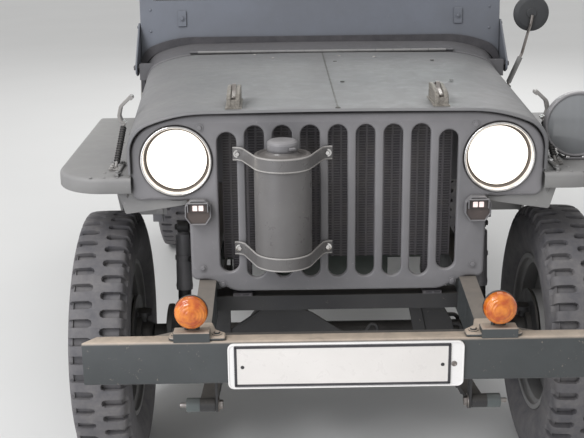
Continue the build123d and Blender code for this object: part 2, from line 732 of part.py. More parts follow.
def make_knuckles():
    """Housing round the axle's ball, kingpins, spindle, backing plate and track arm."""
    outer_r, inner_r = 66.0, ball_radius + 5
    for s, name in ((-1, "right"), (1, "left")):
        x = s * kingpin_half_track
        plate_a = wheel_x - 58 - kingpin_half_track
        tip = wheel_x + 29 - kingpin_half_track
        angles = [math.radians(4 + 10 * k) for k in range(9)]
        inside = [(inner_r * math.sin(a), inner_r * math.cos(a)) for a in angles]
        outline = inside + [
            (inner_r, 0), (tip, 0), (tip, spindle_radius), (outer_r, spindle_radius),
            (outer_r - 4, 30), (50, 46), (30, 62), (plate_a, drum_radius - 14),
            (plate_a, drum_radius + 2), (plate_a - 6, drum_radius + 2), (plate_a - 6, outer_r),
            (inside[0][0], outer_r),
        ]
        points = [(x + s * a, front_axle_y, axle_z + r) for a, r in outline]
        face = make_face(Polyline(*points, close=True).edges())
        body = revolve(face, axis=Axis((x, front_axle_y, axle_z), (1, 0, 0)))
        pieces = [body]
        for up in (1, -1):
            end = 80 if up > 0 else arm_drop
            z0, z1 = axle_z + up * (ball_radius + seat_gap), axle_z + up * end
            pieces.append(disc_z(min(z0, z1), max(z0, z1), x, front_axle_y, 11))
            z0 = axle_z + up * 68
            pieces.append(disc_z(min(z0, z1), max(z0, z1), x, front_axle_y, 22))
            pieces.append(slab(x - s * 8, x + s * 30, front_axle_y - 18, front_axle_y + 18,
                               min(axle_z + up * 60, z1), max(axle_z + up * 60, z1)))
        arm_z = axle_z - arm_drop
        arm_y = front_axle_y + steer_arm
        pieces.append(slab(x - 14, x + 14, front_axle_y, arm_y, arm_z, arm_z + 12))
        pieces.append(disc_z(arm_z, arm_z + 12, x, arm_y, 22))
        write(f"knuckle_{name}", joined(pieces))
    arm_z = axle_z - arm_drop - seat_gap
    y = front_axle_y + steer_arm
    bar = disc_x(-kingpin_half_track, kingpin_half_track, y, arm_z - 14, 13)
    ends = [disc_z(arm_z - 28, arm_z, s * kingpin_half_track, y, 20) for s in SIDES]
    write("tie_rod", joined([bar, *ends]))


def spring_pack(side, y_mid, y_front, z_front, y_rear, z_rear):
    """Leaf pack under the axle with its eyes and the shackle plates up to the rail."""
    x0, x1 = spring_span(side)
    top_mid, steps = axle_z - spring_seat, 6
    upper, lower = [], []
    for k in range(-steps, steps + 1):
        share = abs(k) / steps
        y_end, z_end = (y_front, z_front) if k < 0 else (y_rear, z_rear)
        y = y_mid + (y_end - y_mid) * share
        z = top_mid + (z_end + 4 - top_mid) * (max(share - 1 / steps, 0) * 1.2) ** 2
        upper.append((y, z))
        lower.append((y, z - 8 - 32 * (1 - share)))
    pack = plate_yz(upper + lower[::-1], x0, x1)
    pieces = [pack]
    for y, z in ((y_front, z_front), (y_rear, z_rear)):
        pieces.append(disc_x(x0, x1, y, z, 19))
        for a in (x0 - side * 6, x1):
            hanger = [(y - 17, z - 17), (y + 17, z - 17), (y + 17, rail_bottom(y + 17)),
                      (y - 17, rail_bottom(y - 17))]
            pieces.append(plate_yz(hanger, a, a + side * 6))
        pieces.append(disc_x(x0 - side * 10, x1 + side * 10, y, z, 8))
    return joined(pieces)


def rail_bottom(y):
    """Height of the rail's underside at y."""
    if y >= grille_y + 300:
        return frame_bottom
    if y >= grille_y:
        return frame_bottom - 8 + 8 * (y - grille_y) / 300
    front = bumper_face_y + bumper_depth
    low = bumper_low + 16
    return low + (frame_bottom - 8 - low) * (y - front) / (grille_y - front)


def make_springs():
    packs = []
    for s in SIDES:
        packs.append(spring_pack(s, front_axle_y, front_axle_y - 470, 376,
                                 front_axle_y + 440, 405))
        packs.append(spring_pack(s, rear_axle_y, rear_axle_y - 480, 415,
                                 rear_axle_y + 460, 405))
    write("leaf_springs", packs)
    dampers = []
    # Columns: foot y, head y, distance out from the rail, head z
    for y_low, y_top, out, z_top in (
            (front_axle_y + 60, front_axle_y + 120, front_damper_out, frame_top + 40),
            (rear_axle_y - 60, rear_axle_y - 180, damper_out, frame_bottom + 55)):
        for s in SIDES:
            x = s * (frame_half_width + out)
            foot = (x, y_low, axle_z - 20)
            head = (x, y_top, z_top)
            mid = tuple(Vector(*foot) + (Vector(*head) - Vector(*foot)) * 0.5)
            pieces = [rod(foot, head, 14), rod(mid, head, 23),
                      disc_x(s * frame_half_width, x + s * 5, head[1], head[2], 11),
                      slab(spring_span(s)[1], x + s * 5, y_low - 20, y_low + 20, axle_z - 38,
                           axle_z - 8),
                      slab(s * frame_half_width, s * (frame_half_width + 8), y_top - 22, y_top + 22,
                           frame_bottom + 30, z_top + 14)]
            dampers.append(joined(pieces))
    write("dampers", dampers)


def make_drivetrain():
    front, back = engine_front, engine_front + engine_length
    low = frame_bottom - 7
    block = slab(-engine_half, engine_half, front, back, low, engine_top)
    head = slab(55 - engine_half, 60, front + 10, back - 30, engine_top, engine_top + head_height)
    sump = slab(45 - engine_half, engine_half - 45, front + 140, back - 60, low - sump_depth, low)
    inner = frame_half_width - rail_width
    feet = [slab(s * engine_half, s * inner, front + 170, front + 230, frame_bottom + 28,
                 frame_bottom + 68) for s in SIDES]
    write("engine", joined([block, head, sump, *feet]))
    case_front = back + gearbox_length
    case_top = frame_top - 12
    gearbox = slab(-95, 95, back, case_front, transfer_low + 30, case_top)
    transfer = slab(diff_x - 65, 60, case_front, case_back, transfer_low, case_top)
    write("gearbox", joined([gearbox, transfer]))
    shafts = []
    shaft_z = transfer_low + 52
    # Columns: front y, front z, rear y, rear z
    for y0, z0, y1, z1 in ((front_axle_y + 190, axle_z, case_front, shaft_z),
                           (case_back, shaft_z, rear_axle_y - 190, axle_z)):
        tube = rod((diff_x, y0 + 7, z0), (diff_x, y1 - 7, z1), 22)
        flanges = [disc_y(y0, y0 + 14, diff_x, z0, 36), disc_y(y1 - 14, y1, diff_x, z1, 36)]
        shafts.append(joined([tube, *flanges]))
    write("propshafts", shafts)


def make_exhaust():
    x = -frame_half_width - muffler_radius - 20
    y1, z = rear_axle_y - 692, frame_bottom + 18
    y0 = y1 - muffler_length
    muffler = disc_y(y0, y1, x, z, muffler_radius)
    lead = rod((x, y0 + 5, z), (x, y0 - 190, z), 20)
    tail = rod((x, y1 - 5, z), (x, y1 + 160, z), 19)
    turn = rod((x, y1 + 154, z), (-tub_half + 30, y1 + 240, z - 20), 19)
    hangers = [slab(x + 20, -frame_half_width, y, y + 30, z - 6, z + 6)
               for y in (y0 + 60, y1 - 90)]
    write("exhaust", joined([muffler, lead, tail, turn, *hangers]))
    tank_back = rear_axle_y - wheel_arch_radius + 3
    tank = slab(frame_half_width + tank_side_gap, tub_half - tank_wall_gap,
                tank_back - fuel_tank_length, tank_back, tub_low + 16, frame_top)
    tank = fillet(tank.edges().filter_by(Axis.Y).group_by(Axis.Z)[0], 22)
    write("fuel_tank", tank)


def make_seats():
    """Bent tube frames on legs, with a seat and a back cushion each."""
    cushions, frames = [], []
    tube = 12.0
    rear_y, rear_z = rear_axle_y + 8, floor_top + rear_seat_above_floor
    front_y, front_z = rear_y - 250 - seat_depth, floor_top + seat_above_floor
    # Columns: centre x, half width, front y, rear y, seat z, back z
    table = [
        (-308, 195, front_y, front_y + seat_depth, front_z, front_z + seat_back_height),
        (308, 195, front_y, front_y + seat_depth, front_z, front_z + seat_back_height),
        (0, 440, rear_y, rear_y + rear_seat_depth, rear_z, rear_z + seat_back_height - 15),
    ]
    for x, half, y0, y1, z, back in table:
        lean = 40.0
        cushions.append(slab(x - half + 16, x + half - 16, y0, y1 - 10, z + tube + seat_gap,
                             z + 88))
        rest = plate_yz([(y1 + 2, z + 95), (y1 + 58, z + 95), (y1 + 58 + lean, back),
                         (y1 + 2 + lean, back)], x - half + 16, x + half - 16)
        cushions.append(rest)
        loop = [(x - half, y1 + 72, z), (x - half, y1 + 72 + lean, back - 60),
                (x + half, y1 + 72 + lean, back - 60), (x + half, y1 + 72, z)]
        base = [(x - half, y1 + 72, z), (x - half, y0, z), (x + half, y0, z),
                (x + half, y1 + 72, z)]
        pieces = [bent_tube(loop, tube, 60), bent_tube(base, tube, 60)]
        for cx in (x - half, x + half):
            for y in (y0 + 90, y1 + 72):
                pieces.append(rod((cx, y, floor_top), (cx, y, z), tube))
                pieces.append(Pos(cx, y, z) * Sphere(tube))
        pieces.append(slab(x - half, x + half, y0 + 80, y0 + 100, z - 4, z + tube))
        pieces.append(slab(x - half, x + half, y1 - 60, y1 - 40, z - 4, z + tube))
        for low in (z + 130, back - 120):
            high = low + 30
            slope = lean / (back - z - 95)
            front = [y1 + 58 + slope * (h - z - 95) + seat_gap for h in (low, high)]
            rear = [y1 + 72 + lean * (h - z) / (back - 60 - z) for h in (low, high)]
            pieces.append(plate_yz([(front[0], low), (rear[0], low), (rear[1], high),
                                    (front[1], high)], x - half, x + half))
        frames.append(joined(pieces))
    write("seat_frames", frames)
    write("seat_cushions", cushions)


def make_fittings():
    y = cowl_y + 84
    ya, yb = y - 22, y + 22
    foot = plate_xy([(cowl_half(ya), ya), (cowl_half(yb), yb), (660, yb - 8), (660, ya + 8)],
                    918, 930)
    rise = [rod((651, y, 918), (697, y, 1038), 8), Pos(697, y, 1038) * Sphere(8),
            rod((697, y, 1038), (712, y, 1120), 5)]
    disc = rod((mirror_x, y - 16, mirror_z), (mirror_x, y + 6, mirror_z), 61)
    write("mirror", joined([foot, *rise, disc]))
    handles = []
    for s in SIDES:
        for y in handle_y:
            x = s * tub_half
            handles.append(bent_tube([(x, y, 880), (x + s * 32, y, 880), (x + s * 32, y + 190, 880),
                                      (x, y + 190, 880)], 7, 18))
    write("grab_handles", handles)
    sockets = []
    for s in SIDES:
        x = s * (tub_half - floor_sheet - 19)
        y, low = tub_rear_y - 192, tub_top - 105
        tube = disc_z(low, low + 80, x, y, 19)
        foot = slab(x, s * (tub_half - floor_sheet), y - 10, y + 10, low + 10, low + 70)
        sockets.append(joined([tube, foot]) - disc_z(low - 1, low + 81, x, y, 13))
    write("bow_sockets", sockets)


def make_drive_lamp():
    """Hooded driving lamp on the left fender, a round guard band about its head."""
    x, z, y = drive_lamp_x, drive_lamp_z, grille_y + 147
    head = disc_y(y - 40, y + 30, x, z, drive_lamp_radius)
    back = disc_y(y + 30, y + 62, x, z, drive_lamp_radius * 0.7)
    band = disc_y(y - 24, y + 4, x, z, drive_guard_radius)
    band = band - disc_y(y - 25, y + 5, x, z, drive_guard_radius - 6)
    ties = [slab(x + s * (drive_lamp_radius - 4), x + s * (drive_guard_radius - 2), y - 18, y - 2,
                 z - 8, z + 8) for s in SIDES]
    post = slab(x - 13, x + 13, y - 14, y + 40, fender_top, z - drive_lamp_radius + 8)
    foot = slab(x - 32, x + 32, y - 26, y + 52, fender_top, fender_top + 7)
    write("drive_lamp", joined([head, back, band, *ties, post, foot]))


def make_hood_catches():
    """Sprung catch lever on each fender beside the hood, its top bent in over the hood's edge."""
    y = grille_y + catch_from_grille
    side = hood_front_half
    foot = slab(side + 20, side + 52, y - 20, y + 20, fender_top, fender_top + 6)
    post = slab(side + 28, side + 38, y - 8, y + 8, fender_top, fender_top + 110)
    lever = [(side + 24, 988), (side + 39, 985), (side + 46, 1004), (side + 41, 1034),
             (side + 13, 1062), (side + 6, 1056), (side + 30, 1030), (side + 34, 1006)]
    left = joined([foot, post, plate_xz(lever, y - 13, y + 13)])
    write("hood_catches", left, mirrored(left))


def make_spare():
    """Spare wheel carried flat against the rear panel, the dished side outwards."""
    x, y, z = spare_x, tub_rear_y + 152, spare_z
    turn = Axis((x, y, z), (0, 0, 1))
    wheel, tyre = make_wheel(1, x, y, z)
    bolt = disc_x(x - 60, x + 10, y, z, 34)
    write("spare_wheel", joined([wheel, bolt]).rotate(turn, 90))
    write("spare_tyre", tyre.rotate(turn, 90))
    write("spare_carrier", slab(x - 90, x + 90, tub_rear_y, y - 60, z - 60, z + 60))


def make_back_fittings():
    wall, low = tub_rear_y, frame_top + 8
    shoulder = low + 378
    can = slab(215, 555, wall + 22, wall + 178, low, shoulder)
    can = fillet(can.edges().filter_by(Axis.Y), 28)
    y = wall + 100
    handles = [bent_tube([(x, y - 62, shoulder - 6), (x, y - 62, shoulder + 44),
                          (x, y + 62, shoulder + 44), (x, y + 62, shoulder - 6)], 7.5, 16)
               for x in (333, 385, 437)]
    can = joined([can, *handles, rod((277, y, shoulder - 8), (259, y, shoulder + 44), 30)])
    rack = slab(205, 565, wall, wall + 180, low - 20, low)
    strap = slab(372, 398, wall, wall + 22, low, low + 380)
    write("jerry_can", can)
    write("can_rack", joined([rack, strap]))
    back = rail_rear_y
    plate = slab(-60, 60, back, back + 8, frame_bottom + 2, frame_top - 12)
    z = frame_bottom + 38
    hook = disc_y(back, back + 62, 0, z, 15)
    jaw = disc_x(-11, 11, back + 82, z, 24)
    eye = disc_x(-12, 12, back + 82, z, 13)
    write("tow_hook", joined([plate, hook, jaw]) - eye)
    inner = frame_half_width - rail_width
    write("bumperettes", [
        joined([slab(s * (inner - 18), s * (inner + 42), back, back + 45, frame_bottom + 8,
                     frame_bottom + 63),
                slab(s * (inner - 28), s * (inner + 182), back + 45, back + 62,
                     frame_bottom - 12, frame_bottom + 78)]) for s in SIDES
    ])
    lamps = [disc_y(wall, wall + 34, s * 612, 650, 30) for s in SIDES]
    write("tail_lamps", lamps)


def main():
    os.makedirs("parts", exist_ok=True)
    make_frame_node()
    make_bumper()
    make_grille()
    make_radiator()
    make_coolant_tank()
    make_lamps()
    make_fenders()
    make_hood()
    make_tub()
    make_cowl()
    make_steering()
    make_windscreen()
    for name, side, y in (("front_left", 1, front_axle_y), ("front_right", -1, front_axle_y),
                          ("rear_left", 1, rear_axle_y), ("rear_right", -1, rear_axle_y)):
        wheel, tyre = make_wheel(side, side * wheel_x, y, axle_z)
        write(f"wheel_{name}", wheel)
        write(f"tyre_{name}", tyre)
    make_axles()
    make_knuckles()
    make_springs()
    make_drivetrain()
    make_exhaust()
    make_seats()
    make_fittings()
    make_drive_lamp()
    make_hood_catches()
    make_spare()
    make_back_fittings()


main()
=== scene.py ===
import math

import bmesh
import bpy
import numpy as np
from mathutils import Matrix, Vector
from mathutils.geometry import tessellate_polygon as tessellate


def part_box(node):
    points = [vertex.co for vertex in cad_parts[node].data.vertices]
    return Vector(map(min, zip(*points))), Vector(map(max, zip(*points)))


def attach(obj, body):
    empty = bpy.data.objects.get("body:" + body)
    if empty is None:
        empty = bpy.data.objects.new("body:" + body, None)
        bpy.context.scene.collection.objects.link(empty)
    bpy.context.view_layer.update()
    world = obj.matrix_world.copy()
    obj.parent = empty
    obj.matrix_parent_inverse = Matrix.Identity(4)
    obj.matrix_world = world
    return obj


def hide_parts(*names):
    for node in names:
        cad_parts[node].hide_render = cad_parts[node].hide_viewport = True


# Looks of the open army 4x4 car. Shapes are worked out in millimetres, in the frame of the
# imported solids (+X to the car's left, +Y to its rear, +Z up), and turned to metres in piece().
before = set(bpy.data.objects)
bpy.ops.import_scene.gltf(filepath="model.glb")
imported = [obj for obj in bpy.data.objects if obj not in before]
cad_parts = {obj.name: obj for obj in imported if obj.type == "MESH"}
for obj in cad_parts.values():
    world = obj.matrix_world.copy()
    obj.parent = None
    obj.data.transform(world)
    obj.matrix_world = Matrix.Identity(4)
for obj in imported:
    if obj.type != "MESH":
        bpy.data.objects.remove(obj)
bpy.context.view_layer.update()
MM = 0.001
SIDES = (-1, 1)
X, Y, Z = np.eye(3)
AXES = {"xz": (0, 2, 1), "yz": (1, 2, 0), "xy": (0, 1, 2)}


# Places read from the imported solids

def box(node):
    """Lowest and highest corners of a solid node, in millimetres."""
    low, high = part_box(node)
    return np.array(low) / MM, np.array(high) / MM


grille_low, grille_high = box("grille_guard")
grille_y = grille_low[1]
grille_half = grille_high[0]
grille_top = grille_high[2]
hood_low = box("hood")[0]
cowl_low, cowl_high = box("cowl")
fender_low, fender_high = box("front_fenders")
bumper_low, bumper_high = box("front_bumper")
tub_low, tub_high = box("rear_panel")
tyre_low, tyre_high = box("tyre_front_left")
plate_low, plate_high = box("number_plate")
front_axle = np.array([0.0, *(tyre_low + tyre_high)[1:] / 2])
rear_axle = np.array([0.0, *sum(box("tyre_rear_left"))[1:] / 2])
wheel_x = (tyre_low[0] + tyre_high[0]) / 2
tyre_radius = (tyre_high[2] - tyre_low[2]) / 2
rim_radius = 212.0
cowl_y = cowl_low[1] + 2
dash_y = cowl_high[1]
floor_top = box("floor_pan")[1][2]


# Shapes: each is (points, faces), in millimetres

def surface(points, wrap_u=False, wrap_v=False):
    """Quads over a grid of points, rows by columns, joined round where it wraps."""
    rows, columns = points.shape[:2]
    index = np.arange(rows * columns).reshape(rows, columns)
    if wrap_u:
        index = np.vstack([index, index[:1]])
    if wrap_v:
        index = np.hstack([index, index[:, :1]])
    corners = [index[:-1, :-1], index[1:, :-1], index[1:, 1:], index[:-1, 1:]]
    return points.reshape(-1, 3), np.stack(corners, -1).reshape(-1, 4).tolist()


def cap(ring):
    """One flat face over a closed ring of points."""
    return ring, [list(range(len(ring)))]


def unit(v):
    """Vectors over their lengths."""
    return v / np.maximum(np.linalg.norm(v, axis=-1, keepdims=True), 1e-9)


def eased(points, radius, closed=False, steps=5):
    """Polyline with arcs at its corners: each arc's ends lie radius / tan(half the corner's
    angle) from the corner, and its points are a slerp between its first and last spoke."""
    p = np.asarray(points, float)
    r = np.maximum(np.broadcast_to(np.asarray(radius, float), len(p)), 1e-4)[:, None]
    before = unit(np.roll(p, 1, 0) - p)
    after = unit(np.roll(p, -1, 0) - p)
    cosine = np.clip((before * after).sum(1), -1, 1)
    half = np.clip(np.arccos(cosine) / 2, 1e-3, math.pi / 2 - 1e-4)[:, None]
    centre = p + unit(before + after) * r / np.sin(half)
    first = p + before * r / np.tan(half) - centre
    last = p + after * r / np.tan(half) - centre
    turn = (math.pi - 2 * half)[:, None]
    t = np.linspace(0, 1, steps)[None, :, None]
    arc = (np.sin((1 - t) * turn) * first[:, None] + np.sin(t * turn) * last[:, None])
    arc = arc / np.sin(turn) + centre[:, None]
    if closed:
        return arc.reshape(-1, p.shape[1])
    inner = arc[1:-1].reshape(-1, p.shape[1])
    return np.vstack([p[:1], inner, p[-1:]])


def circle(radius, sides):
    """Points (radius cos t, radius sin t) round a circle."""
    t = np.arange(sides) * 2 * math.pi / sides
    return np.stack([radius * np.cos(t), radius * np.sin(t)], -1)


def rectangle(x0, x1, y0, y1, radius=0.0, steps=5):
    """Closed ring of a rectangle's four corners, or of their arcs when there is a radius."""
    corners = [(x0, y0), (x1, y0), (x1, y1), (x0, y1)]
    return eased(corners, radius, True, steps) if radius else np.array(corners, float)


def shrunk(outline, inset):
    """Closed outline moved inwards: each point by inset along the mean of its sides' normals,
    over the cosine of half its turn."""
    ahead = unit(np.roll(outline, -1, 0) - outline)
    behind = unit(outline - np.roll(outline, 1, 0))
    x, y = outline.T
    area = (x * np.roll(y, -1) - y * np.roll(x, -1)).sum()
    turn = 1 if area > 0 else -1
    normal = unit(np.stack([-(ahead + behind)[:, 1], (ahead + behind)[:, 0]], -1)) * turn
    side = np.stack([-ahead[:, 1], ahead[:, 0]], -1) * turn
    stretch = np.maximum((normal * side).sum(1), 0.4)[:, None]
    return outline + normal * inset / stretch


def placed(flat, depth, plane):
    """2-D points of a plane, at a depth across it, as 3-D points."""
    a, b, c = AXES[plane]
    points = np.empty((*flat.shape[:-1], 3))
    points[..., a], points[..., b], points[..., c] = flat[..., 0], flat[..., 1], depth
    return points


def prism(outline, low, high, plane, bevel=1.0):
    """Closed outline carried from low to high across its plane, its two edges chamfered."""
    outline = np.asarray(outline, float)
    outline = outline[np.linalg.norm(outline - np.roll(outline, 1, 0), axis=1) > 1e-3]
    inner = shrunk(outline, bevel)
    low, high = sorted((low, high))
    rings = [placed(inner, low, plane), placed(outline, low + bevel, plane),
             placed(outline, high - bevel, plane), placed(inner, high, plane)]
    return [surface(np.stack(rings), wrap_v=True), cap(rings[0]), cap(rings[-1])]


def block(x0, x1, y0, y1, z0, z1, bevel=1.5, plane="xy", corner=0.0):
    """Box with chamfered edges; its corners in the given plane may be rounded."""
    spans = {"xy": (x0, x1, y0, y1, z0, z1), "xz": (x0, x1, z0, z1, y0, y1),
             "yz": (y0, y1, z0, z1, x0, x1)}[plane]
    a0, a1 = sorted(spans[0:2])
    b0, b1 = sorted(spans[2:4])
    return prism(rectangle(a0, a1, b0, b1, corner), spans[4], spans[5], plane, bevel)


def lathe(profile, centre, axis=Y, sides=48, closed=False):
    """Profile of (along, radius) points turned about the axis through the centre:
    centre + along * axis + radius * (cos t * side + sin t * other)."""
    axis = unit(np.asarray(axis, float))
    side = unit(np.cross(axis, Z if abs(axis[2]) < 0.9 else Y))
    other = np.cross(axis, side)
    along, radius = np.asarray(profile, float).T
    t = np.arange(sides) * 2 * math.pi / sides
    spoke = np.cos(t)[:, None] * side + np.sin(t)[:, None] * other
    points = (np.asarray(centre, float) + along[None, :, None] * axis
              + radius[None, :, None] * spoke[:, None, :])
    return surface(points, wrap_u=True, wrap_v=closed)


def tube(path, radius, across=Z, sides=12, closed=False):
    """Circle carried along a path: its two spokes are the cross products of the tangent with a
    fixed direction, which no run of the path follows."""
    p = np.asarray(path, float)
    ahead = np.roll(p, -1, 0) - np.roll(p, 1, 0) if closed else np.gradient(p, axis=0)
    tangent = unit(ahead)
    side = unit(np.cross(tangent, across))
    other = np.cross(tangent, side)
    t = np.arange(sides) * 2 * math.pi / sides
    r = np.broadcast_to(np.asarray(radius, float), len(p))[:, None, None]
    ring = (p[:, None] + r * (np.cos(t)[None, :, None] * side[:, None]
                              + np.sin(t)[None, :, None] * other[:, None]))
    if closed:
        return [surface(ring, wrap_u=True, wrap_v=True)]
    return [surface(ring, wrap_v=True), cap(ring[0]), cap(ring[-1])]


def strip(path, width, thick, across):
    """Flat bar carried along a path: width along the fixed direction, thickness square to it."""
    p = np.asarray(path, float)
    wide = unit(np.asarray(across, float))
    up = unit(np.cross(np.gradient(p, axis=0), wide))
    w, t = width / 2, thick / 2
    e = min(w, t) * 0.35
    section = [(-w, -t + e), (-w + e, -t), (w - e, -t), (w, -t + e), (w, t - e), (w - e, t),
               (-w + e, t), (-w, t - e)]
    a, b = np.array(section).T
    ring = p[:, None] + a[None, :, None] * wide + b[None, :, None] * up[:, None]
    return [surface(ring, wrap_v=True), cap(ring[0]), cap(ring[-1])]


def bolt(centre, axis, across=13.0, height=7.0, washer=True):
    """Hexagon head with a domed top on a round washer: a six-sided lathe over a round one."""
    r = across / 2
    head = [(0, 0), (0, r), (height * 0.8, r), (height, r * 0.8), (height, 0)]
    parts = [lathe(head, centre, axis, 6)]
    if washer:
        ring = [(0, 0), (0, r * 1.6), (1.6, r * 1.55), (1.8, 0)]
        parts.append(lathe(ring, centre, axis, 20))
    return parts


def rivet(centre, axis, radius=5.0):
    """Low dome: height and radius follow a quarter of an ellipse."""
    t = np.linspace(0, math.pi / 2, 5)
    profile = np.stack([radius * 0.5 * np.sin(t), radius * np.cos(t)], -1)
    return [lathe(profile, centre, axis, 12)]


def moved(parts, shift):
    """Parts with a shift added to every point."""
    return [(points + np.asarray(shift, float), faces) for points, faces in parts]


def turned(parts, centre, axis, degrees):
    """Parts turned about an axis through the centre."""
    turn = np.array(Matrix.Rotation(math.radians(degrees), 3, Vector(axis)))
    c = np.asarray(centre, float)
    return [((points - c) @ turn.T + c, faces) for points, faces in parts]


def flipped(parts):
    """Mirror image across the car's middle, faces wound the other way."""
    return [(points * (-1, 1, 1), [face[::-1] for face in faces]) for points, faces in parts]


def sided(parts, s):
    """Parts made for the left side (s = 1), or their mirror image for the right side (s = -1)."""
    return parts if s > 0 else flipped(parts)


def piece(name, parts, material, body="chassis", replaces=(), smooth=32, wall=0.0, facing=None):
    """Joins parts into one mesh object that rides on a body. Doubles are merged and the faces
    turned outwards; a sheet (facing = the side that its faces look to) then gets a wall inwards.
    Edges over the smooth angle stay sharp."""
    offsets = np.cumsum([0] + [len(points) for points, _ in parts])
    points = np.vstack([points for points, _ in parts]) * MM
    faces = [[i + start for i in face] for (_, group), start in zip(parts, offsets)
             for face in group]
    mesh = bpy.data.meshes.new(name)
    mesh.from_pydata(points.tolist(), [], faces)
    bm = bmesh.new()
    bm.from_mesh(mesh)
    bmesh.ops.remove_doubles(bm, verts=bm.verts, dist=2e-5)
    bmesh.ops.recalc_face_normals(bm, faces=bm.faces)
    if facing is not None:
        look = Vector(facing)
        if sum(face.normal.dot(look) * face.calc_area() for face in bm.faces) < 0:
            bmesh.ops.reverse_faces(bm, faces=bm.faces)
    bm.to_mesh(mesh)
    bm.free()
    obj = bpy.data.objects.new(name, mesh)
    bpy.context.scene.collection.objects.link(obj)
    if wall:
        solid = obj.modifiers.new("wall", "SOLIDIFY")
        solid.thickness = wall * MM
        solid.offset = -1.0
        solid.use_quality_normals = True
        applied(obj)
    shade(obj.data, smooth)
    obj.data.materials.clear()
    obj.data.materials.append(material)
    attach(obj, body)
    if replaces:
        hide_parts(*replaces)
    return obj


def applied(obj):
    """Works the modifiers of the object into its mesh."""
    graph = bpy.context.evaluated_depsgraph_get()
    obj.data = bpy.data.meshes.new_from_object(obj.evaluated_get(graph))
    obj.modifiers.clear()


def shade(mesh, angle):
    """Smooth faces, with edges over the angle kept sharp."""
    mesh.polygons.foreach_set("use_smooth", np.ones(len(mesh.polygons), bool))
    mesh.set_sharp_from_angle(angle=math.radians(angle))


# Materials

def linear(code):
    """Linear colour of an sRGB hex value: c / 12.92 up to 0.04045, and above it
    ((c + 0.055) / 1.055) to the power 2.4."""
    parts = [int(code[i:i + 2], 16) / 255 for i in (1, 3, 5)]
    rgb = [c / 12.92 if c <= 0.04045 else ((c + 0.055) / 1.055) ** 2.4 for c in parts]
    return (*rgb, 1.0)


def per(size):
    """Noise scale whose cells are about this many millimetres: one over the size in metres."""
    return 1 / (size * MM)


def bands(spacing):
    """Wave scale whose bands lie this many millimetres apart: pi / 10 over the spacing."""
    return per(spacing) * math.pi / 10


def wire(tree, node, inputs):
    """Gives the sockets of a node, by name or number, their links or plain values."""
    for name, value in inputs.items():
        if isinstance(value, bpy.types.NodeSocket):
            tree.links.new(value, node.inputs[name])
        else:
            node.inputs[name].default_value = value


def add(tree, kind, inputs, **settings):
    """Adds one node: settings are its own properties. By number, a MapRange takes its value, the
    range's ends and the result's ends, and a Mix its factor at 0 and its colours at 6 and 7."""
    made = tree.nodes.new("ShaderNode" + kind)
    for name, value in settings.items():
        setattr(made, name, value)
    wire(tree, made, inputs)
    return made.outputs


def blank(name):
    """New material with its tree, and the object's own coordinates, which its textures follow."""
    material = bpy.data.materials.new(name)
    material.use_nodes = True
    tree = material.node_tree
    return material, tree, add(tree, "TexCoord", {})["Object"]


def finished(material, inputs):
    """The material, once the sockets of its Principled shader are set."""
    tree = material.node_tree
    wire(tree, tree.nodes["Principled BSDF"], inputs)
    return material


def enamel(name, base, worn, dust, gloss=0.55, dust_share=0.35, waviness=0.5):
    """Matt vehicle enamel, sprayed and brushed over old coats on pressed steel: it gives a soft
    broad sheen, cloudy patches, a fine orange peel and pale dust on what faces up. Painted shade
    darkens it in crevices, under lips and between parts, where ambient occlusion finds them."""
    material, tree, place = blank(name)
    cloud = add(tree, "TexNoise", {"Vector": place, "Scale": per(260), "Detail": 4.0,
                                   "Roughness": 0.6})[0]
    stain = add(tree, "TexNoise", {"Vector": place, "Scale": per(38), "Detail": 6.0,
                                   "Roughness": 0.65, "Distortion": 0.6})[0]
    # Scuffs: thin short streaks, 6 mm apart, where a broad noise lets them through
    along = add(tree, "Mapping", {"Vector": place, "Scale": (1.0, 0.35, 1.0)})[0]
    streak = add(tree, "TexNoise", {"Vector": along, "Scale": per(7), "Detail": 3.0,
                                    "Distortion": 1.4})[0]
    up = add(tree, "SeparateXYZ", {0: add(tree, "NewGeometry", {})["Normal"]})[2]
    # Painted shade: this occlusion mask darkens the colour towards #2b2a28 in crevices, under lips
    # and between parts
    corner = add(tree, "AmbientOcclusion", {"Distance": 0.045}, samples=4)["AO"]
    cloudy, stained, scuffed, broken, lying, held, crevice_shade, rough = (
        add(tree, "MapRange", {0: value, 1: low, 2: high, 3: to_low, 4: to_high})[0]
        for value, low, high, to_low, to_high in (
            (cloud, 0.36, 0.66, 0.0, 1.0), (stain, 0.5, 0.78, 0.0, 0.28),
            (streak, 0.66, 0.72, 0.0, 0.5), (stain, 0.5, 0.6, 0.0, 1.0),
            (up, 0.2, 0.95, 0.0, dust_share), (stain, 0.2, 0.7, 0.55, 1.0),
            (corner, 0.25, 0.85, 0.55, 0.0), (stain, 0.25, 0.75, gloss - 0.1, gloss + 0.12)))
    scuff, settled = (add(tree, "Math", {0: a, 1: b}, operation="MULTIPLY")[0]
                      for a, b in ((scuffed, broken), (lying, held)))
    colour = linear(base)
    for share, over in ((cloudy, worn), (stained, worn), (scuff, dust), (settled, dust),
                        (crevice_shade, "#2b2a28")):
        colour = add(tree, "Mix", {0: share, 6: colour, 7: linear(over)}, data_type="RGBA")[2]
    wave = add(tree, "TexNoise", {"Vector": place, "Scale": per(120), "Detail": 1.0})[0]
    panel = add(tree, "Bump", {"Height": wave, "Strength": waviness, "Distance": 1.6 * MM})[0]
    peel = add(tree, "TexNoise", {"Vector": place, "Scale": per(3.5), "Detail": 2.0})[0]
    skin = add(tree, "Bump", {"Height": peel, "Strength": 0.18, "Distance": 0.2 * MM,
                              "Normal": panel})[0]
    return finished(material, {"Base Color": colour, "Roughness": rough, "IOR": 1.48,
                               "Normal": skin})


